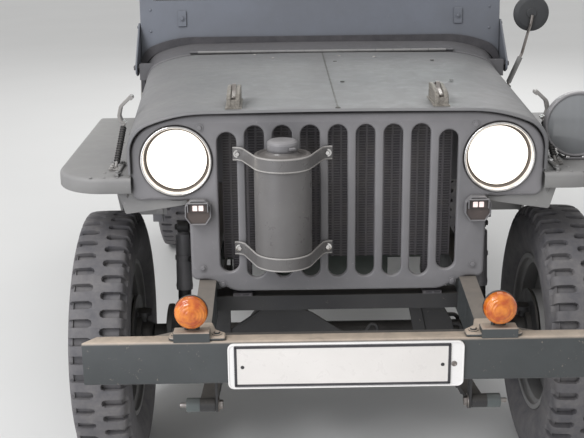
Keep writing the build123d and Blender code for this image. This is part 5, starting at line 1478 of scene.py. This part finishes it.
def make_levers():
    """Three levers that rise from their boots to round knobs, and three pedals on bent arms."""
    levers, knobs = [], []
    for x, y, z, lean_x, lean_y in ((10, 60, 372, -30, 120), (-62, 150, 250, -10, 60),
                                    (-104, 150, 235, -16, 50)):
        path = eased([(x, y, floor_top), (x + lean_x * 0.3, y + lean_y * 0.2, floor_top + z * 0.5),
                      (x + lean_x, y + lean_y, floor_top + z)], [0, 150, 0], steps=7)
        levers += tube(path, 6.5, X, 14)
        boot = eased([(0, 0), (0, 46), (8, 44), (16, 30), (30, 26), (36, 16), (52, 12), (60, 7)],
                     [0, 2, 4, 6, 6, 6, 5, 0])
        knobs.append(lathe(boot, (x, y, floor_top), Z, 32))
        knobs.append(lathe(eased([(-10, 0), (-10, 9), (6, 19), (22, 17), (30, 0)], [0, 3, 9, 9, 0]),
                           path[-1], Z, 28))
    for x in (215, 330, 405):
        arm = eased([(x, -232, 880), (x, -170, 760), (x, -118, 700)], [0, 60, 0], steps=6)
        levers += strip(arm, 16.0, 6.0, X)
        knobs += moved(turned(block(-30, 30, -5, 5, -34, 34, 3.0), (0, 0, 0), X, 35),
                       (x, -112, 700))
    piece("lever_rods", levers, steel)
    piece("lever_knobs", knobs, dark_rim)


def swollen(obj):
    """Vertex places after 20 frames of cloth pressure with no gravity, in metres."""
    sheet = obj.modifiers.new("stuffing", "CLOTH")
    settings = sheet.settings
    settings.quality = 5
    settings.mass = 0.4
    settings.tension_stiffness = settings.compression_stiffness = 22.0
    settings.shear_stiffness = 9.0
    settings.bending_stiffness = 1.2
    settings.use_pressure = True
    settings.uniform_pressure_force = 4.0
    settings.effector_weights.gravity = 0.0
    sheet.point_cache.frame_start = 1
    sheet.point_cache.frame_end = 20
    for number in range(1, 21):
        bpy.context.scene.frame_set(number)
    evaluated = obj.evaluated_get(bpy.context.evaluated_depsgraph_get())
    mesh = evaluated.to_mesh()
    places = np.empty(len(mesh.vertices) * 3)
    mesh.vertices.foreach_get("co", places)
    evaluated.to_mesh_clear()
    obj.modifiers.clear()
    bpy.context.scene.frame_set(1)
    return places


def cushion(name, size, low, lean, growth, voxel, seams):
    """Stuffed cushion: a block smaller by growth on each side, swollen by cloth pressure and
    brought to its real size. A seam presses a channel exp(-(distance / 7)^2) deep by 7 mm, small
    waves are the cover's pleats, and piping follows both rims. It leans back by lean * height."""
    size = np.array(size, float)
    w, d, h = size - 2 * growth
    centre = np.array(low, float) + size / 2
    across, up = (1, 2) if h < d else (2, 1)
    plane, long_side, thin = ("xy", d, h) if h < d else ("xz", h, d)
    ring = rectangle(-w / 2, w / 2, -long_side / 2, long_side / 2, 30.0, 8)
    obj = piece(name, prism(ring, -thin / 2, thin / 2, plane, thin * 0.16), cloth)
    grid = obj.modifiers.new("grid", "REMESH")
    grid.mode = "VOXEL"
    grid.voxel_size = voxel * MM
    applied(obj)
    before = np.empty(len(obj.data.vertices) * 3)
    obj.data.vertices.foreach_get("co", before)
    after = swollen(obj)
    p = before.reshape(-1, 3) / MM
    shift = after.reshape(-1, 3) / MM - p
    far = np.linalg.norm(shift, axis=1)[:, None]
    furthest = 24.0  # no point moves further than this under the pressure
    p = p + shift * np.minimum(1, furthest / np.maximum(far, 1e-6))
    p = (p - (p.max(0) + p.min(0)) / 2) * size / (p.max(0) - p.min(0))
    side = np.sign(p[:, up])
    reach = np.abs(p[:, up]) / (size[up] / 2)
    for place in seams:
        near = np.exp(-((p[:, 0] - place) / 7.0) ** 2)
        p[:, up] -= side * 7.0 * near * np.clip((reach - 0.35) * 2.2, 0, 1)
    pleat = 0.8 * np.sin(p[:, 0] / 17 + 2.1 * np.sin(p[:, across] / 61))
    p[:, up] += side * pleat * np.clip(reach, 0, 1)
    cords = []
    for s in SIDES:
        half_w, half_l = size[0] / 2 - 3.5, size[across] / 2 - 3.5
        flat = rectangle(-half_w, half_w, -half_l, half_l, 34.0, 12)
        path = np.zeros((len(flat), 3))
        path[:, 0], path[:, across], path[:, up] = flat[:, 0], flat[:, 1], s * size[up] * 0.34
        rim = p[side == s]
        near = ((path[:, None] - rim[None]) ** 2).sum(-1).argmin(1)
        path = (path + rim[near]) / 2
        for _ in range(3):
            path = (np.roll(path, 1, 0) + 2 * path + np.roll(path, -1, 0)) / 4
        cords += tube(path, 4.0, np.eye(3)[up], 8, True)
    lift = np.array([0.0, lean, 0.0])
    p = p + centre + lift * (p[:, 2:] + size[2] / 2)
    cords = [(q + centre + lift * (q[:, 2:] + size[2] / 2), faces) for q, faces in cords]
    obj.data.vertices.foreach_set("co", (p * MM).ravel())
    fine = obj.modifiers.new("fine", "SUBSURF")
    fine.levels = fine.render_levels = 1
    applied(obj)
    shade(obj.data, 80)
    piece(f"{name}_piping", cords, cloth, smooth=60)
    return obj


def make_seats():
    """Two front seats and a rear bench: base and back cushions on their tube frames."""
    for side, x in (("right", -308), ("left", 308)):
        base = cushion(f"seat_base_{side}", (358, 420, 75), (x - 179, 250, 782.5), 0.0, 12.0, 7.0,
                       (-60, 60))
        cushion(f"seat_rest_{side}", (358, 56, 284), (x - 179, 682, 866), 0.14, 9.0, 7.0, (-60, 60))
        if side == "right":
            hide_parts("seat_cushions")
    wide = (-212, 0, 212)
    cushion("bench_base", (848, 345, 75), (-424, 930, 757.5), 0.0, 12.0, 10.0, wide)
    cushion("bench_rest", (848, 56, 269), (-424, 1287, 841), 0.148, 9.0, 10.0, wide)


def make_can():
    """Pressed fuel can with three handles and a cap. Each face bulges, falls towards its corners
    by the eighth power of the distance, and carries two crossed channels 7 exp(-(d / 9)^2) deep
    and a rim channel; where the edge is near, a quarter circle rounds it."""
    low, high = box("jerry_can")
    (x0, y0, z0), (x1, y1) = low, high[:2]
    z1 = z0 + 378.0
    u, v = np.meshgrid(np.linspace(-1, 1, 61), np.linspace(-1, 1, 75), indexing="ij")
    half_x, half_z, mid_x, mid_y = (x1 - x0) / 2, (z1 - z0) / 2, (x0 + x1) / 2, (y0 + y1) / 2
    edge = np.maximum(np.abs(u), np.abs(v))
    fall = 1 - 0.10 * np.clip(np.abs(u) ** 8 + np.abs(v) ** 8, 0, 1.2)
    cross = np.minimum(np.abs(u * half_x * 0.8 - v * half_z * 0.8),
                       np.abs(u * half_x * 0.8 + v * half_z * 0.8)) / 1.41
    press = 7.0 * np.clip((1 - edge - 0.14) * 14, 0, 1) * np.exp(-(cross / 9.0) ** 2)
    rim = 4.0 * np.exp(-((edge - 0.84) / 0.035) ** 2)
    tight = (1 - (1 - np.clip((1 - edge) * 9, 0, 1)) ** 2) ** 0.5
    soft = 1 - 0.03 * (1 - tight)
    deep = ((y1 - y0) / 2 - 3) * (0.55 + 0.45 * tight) * fall - press - rim + 2
    parts = [surface(np.stack([mid_x + u * half_x * soft, mid_y + s * deep,
                               (z0 + z1) / 2 + v * half_z * soft], -1)) for s in SIDES]
    parts.append(surface(np.stack([grid_edge(points, 61, 75) for points, _ in parts]), wrap_v=True))
    handles = []
    for x in (mid_x - 52, mid_x, mid_x + 52):
        path = eased([(x, mid_y - 62, z1 - 6), (x, mid_y - 62, z1 + 44),
                      (x, mid_y + 62, z1 + 44), (x, mid_y + 62, z1 - 6)], [0, 16, 16, 0], steps=6)
        handles += tube(path, 7.5, X, 14)
    cap_at = (x0 + 62, mid_y, z1 - 8)
    handles.append(lathe(eased([(0, 0), (0, 30), (34, 30), (34, 36), (46, 36), (54, 30), (56, 0)],
                               [0, 1, 1, 2, 3, 3, 0]), cap_at, (-0.35, 0, 1), 40))
    piece("can_body", parts, olive, replaces=["jerry_can"], smooth=50)
    piece("can_handles", handles, olive)
    belt = []
    for y in (y0 - 1.5, y1 + 1.5):
        belt += block(mid_x - 14, mid_x + 14, y - 1.5, y + 1.5, z0, z1 + 2, 0.8)
    piece("can_belt", belt, cloth)


def grid_edge(points, rows, columns):
    """Closed loop of border points of a rows by columns grid."""
    index = np.arange(rows * columns).reshape(rows, columns)
    loop = np.concatenate([index[0, :-1], index[:-1, -1], index[-1, :0:-1], index[:0:-1, 0]])
    return points[loop]


def make_tub_details():
    """Rolled beads on the tub's edges, seam rivets and tie-down hooks."""
    top, sill, side_x = tub_high[2], 662.0, 728
    rear_y, door_y = tub_high[1], rear_axle[1] - 472
    beads, hooks = [], []
    for s in SIDES:
        run = [(door_y, sill), (door_y + 55, sill + 30), (door_y + 90, sill + 110),
               (door_y + 125, top - 90), (door_y + 170, top - 25), (door_y + 230, top),
               (rear_y - 60, top)]
        line = eased([(dash_y + 400, sill)] + run, [0, 20, 40, 80, 80, 60, 60, 0], steps=5)
        path = np.column_stack([np.full(len(line), s * (side_x - 2)), line])
        beads += tube(path, 6.0, X, 12)
        for y in (dash_y + 420, 560, 1330):
            hook = eased([(s * side_x, y, 560), (s * (side_x + 14), y, 556),
                          (s * (side_x + 16), y, 590), (s * (side_x + 6), y, 596)],
                         [0, 8, 8, 0], steps=5)
            hooks += tube(hook, 4.0, Y, 10)
        for k in range(9):
            hooks += rivet((s * side_x, dash_y + 360 + 71.5 * k, 500), (s, 0, 0), 5.0)
    piece("tub_beads", beads, body_olive)
    piece("tub_hooks", hooks, body_olive)


def make_tail_lamps():
    """Black cups with a rolled rim round a red lens, which bows out as half an ellipse."""
    lamps, glass = [], []
    low, high = box("tail_lamps")
    for s in SIDES:
        c = (s * (high[0] - 30.0), low[1], (low[2] + high[2]) / 2)
        lamps.append(lathe(eased([(0, 0), (0, 30), (26, 30), (31, 28), (31, 24), (27, 23), (27, 0)],
                                 [0, 1, 3, 1, 1, 1, 0]), c, Y, 48))
        t = np.linspace(0, math.pi / 2, 12)
        glass.append(lathe(np.stack([27 + 6.5 * np.cos(t), 24 * np.sin(t)], -1), c, Y, 48))
    piece("tail_shells", lamps, black, replaces=["tail_lamps"])
    piece("tail_glass", glass, red)


def make_front_bracket():
    """Black plates under the guard: a cranked carrier that steps up to its post, and two stays."""
    y, foot, top = -1230, 404, 541
    parts = []
    for deep, outline in (
            (6.0, [(-338, foot), (-338, 428), (-285, 433), (-235, 467), (-191, 496), (-174, top),
                   (-98, top), (-93, 488), (-65, 476), (-30, 452), (25, 416), (25, foot)]),
            (22.0, [(-329, foot), (-329, top), (-288, top), (-288, foot)]),
            (14.0, [(216, foot), (188, top), (222, top), (250, foot)]),
            (5.0, [(222, top), (287, top), (285, 506), (319, 446), (328, foot), (250, foot)])):
        parts += prism(eased(outline, 4.0, True, 4), y - deep / 2, y + deep / 2, "xz", 1.2)
    parts += tube([(-262, y - 8, 446), (-186, y - 8, 500)], 4.0, Y, 10)
    parts += tube(eased([(25, y + 2, 412), (82, y + 2, 416), (96, y + 2, 440), (112, y + 2, 436),
                         (116, y + 2, 410)], [0, 14, 9, 9, 0], steps=6), 4.5, Y, 10)
    piece("front_bracket", parts, black)


def make_underside_details():
    """Bolted bells at the front axle's ends, bolt circles of the two axle covers, and the brake
    pipe along the frame's right rail."""
    flanges = []
    for s in SIDES:
        c = (s * 440.0, *front_axle[1:])
        bell = eased([(0, 40), (6, 52), (14, 86), (16, 93), (30, 93), (32, 84), (34, 40)],
                     [0, 4, 6, 1.5, 1.5, 2, 0], False, 4)
        flanges.append(lathe(bell, c, (s, 0, 0), 56))
        for k in range(8):
            a = 2 * math.pi * k / 8 + 0.2
            flanges += bolt((s * 455, c[1] + 84 * math.cos(a), c[2] + 84 * math.sin(a)),
                            (-s, 0, 0), 13.0, 8.0, False)
    piece("axle_flanges", flanges, black)
    bolts = []
    for y, way in ((front_axle[1], -1), (rear_axle[1], 1)):
        for k in range(10):
            a = 2 * math.pi * k / 10
            bolts += bolt((-150 + 78 * math.cos(a), y + way * 66, front_axle[2] + 78 * math.sin(a)),
                          (0, way, 0), 13.0, 7.0, False)
    piece("axle_bolts", bolts, black)
    piece("brake_pipes", tube([(-300, -1250, 606), (-300, 1380, 606)], 4.0, Z, 8), steel)


def dress_cad():
    """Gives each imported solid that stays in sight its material."""
    for material, names in {
            # The cowl solid takes the darker cowl copy of the paint, whose darkness is painted
            # shade
            cowl_shaded_paint: ("cowl",), rail_paint: ("frame_rails",), exhaust_steel: ("exhaust",),
            radiator_core: ("radiator",), motor_paint: ("engine", "gearbox"),
            olive: ("grab_handles", "bow_sockets", "spare_carrier", "can_rack", "bumperettes",
                    "fuel_tank", "seat_frames"),
            body_olive: ("body_sides", "rear_panel", "floor_pan", "wheelhouses"),
            black: ("cross_members", "front_axle", "rear_axle", "knuckle_left",
                    "knuckle_right", "tie_rod", "propshafts", "tow_hook")}.items():
        for name in names:
            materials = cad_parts[name].data.materials
            materials.clear()
            materials.append(material)


def main():
    """Sets the view, the camera and the studio, then makes every piece."""
    bpy.context.scene.view_settings.view_transform = "Standard"
    add_camera()
    add_studio()
    make_guard()
    make_headlamps()
    make_markers()
    make_turn_signals()
    make_bumper()
    make_plate()
    make_coolant_tank()
    make_hood()
    make_hood_fittings()
    make_hood_blocks()
    make_hood_hinge()
    make_fender(1, "left")
    make_fender(-1, "right")
    make_cowl_skin()
    make_screen_seal()
    make_dash()
    make_wheels()
    make_springs()
    make_dampers()
    make_mirror()
    make_drive_lamp()
    make_catches()
    make_windscreen()
    make_hand_wheel()
    make_levers()
    make_seats()
    make_can()
    make_tub_details()
    make_tail_lamps()
    make_front_bracket()
    make_underside_details()
    dress_cad()


main()
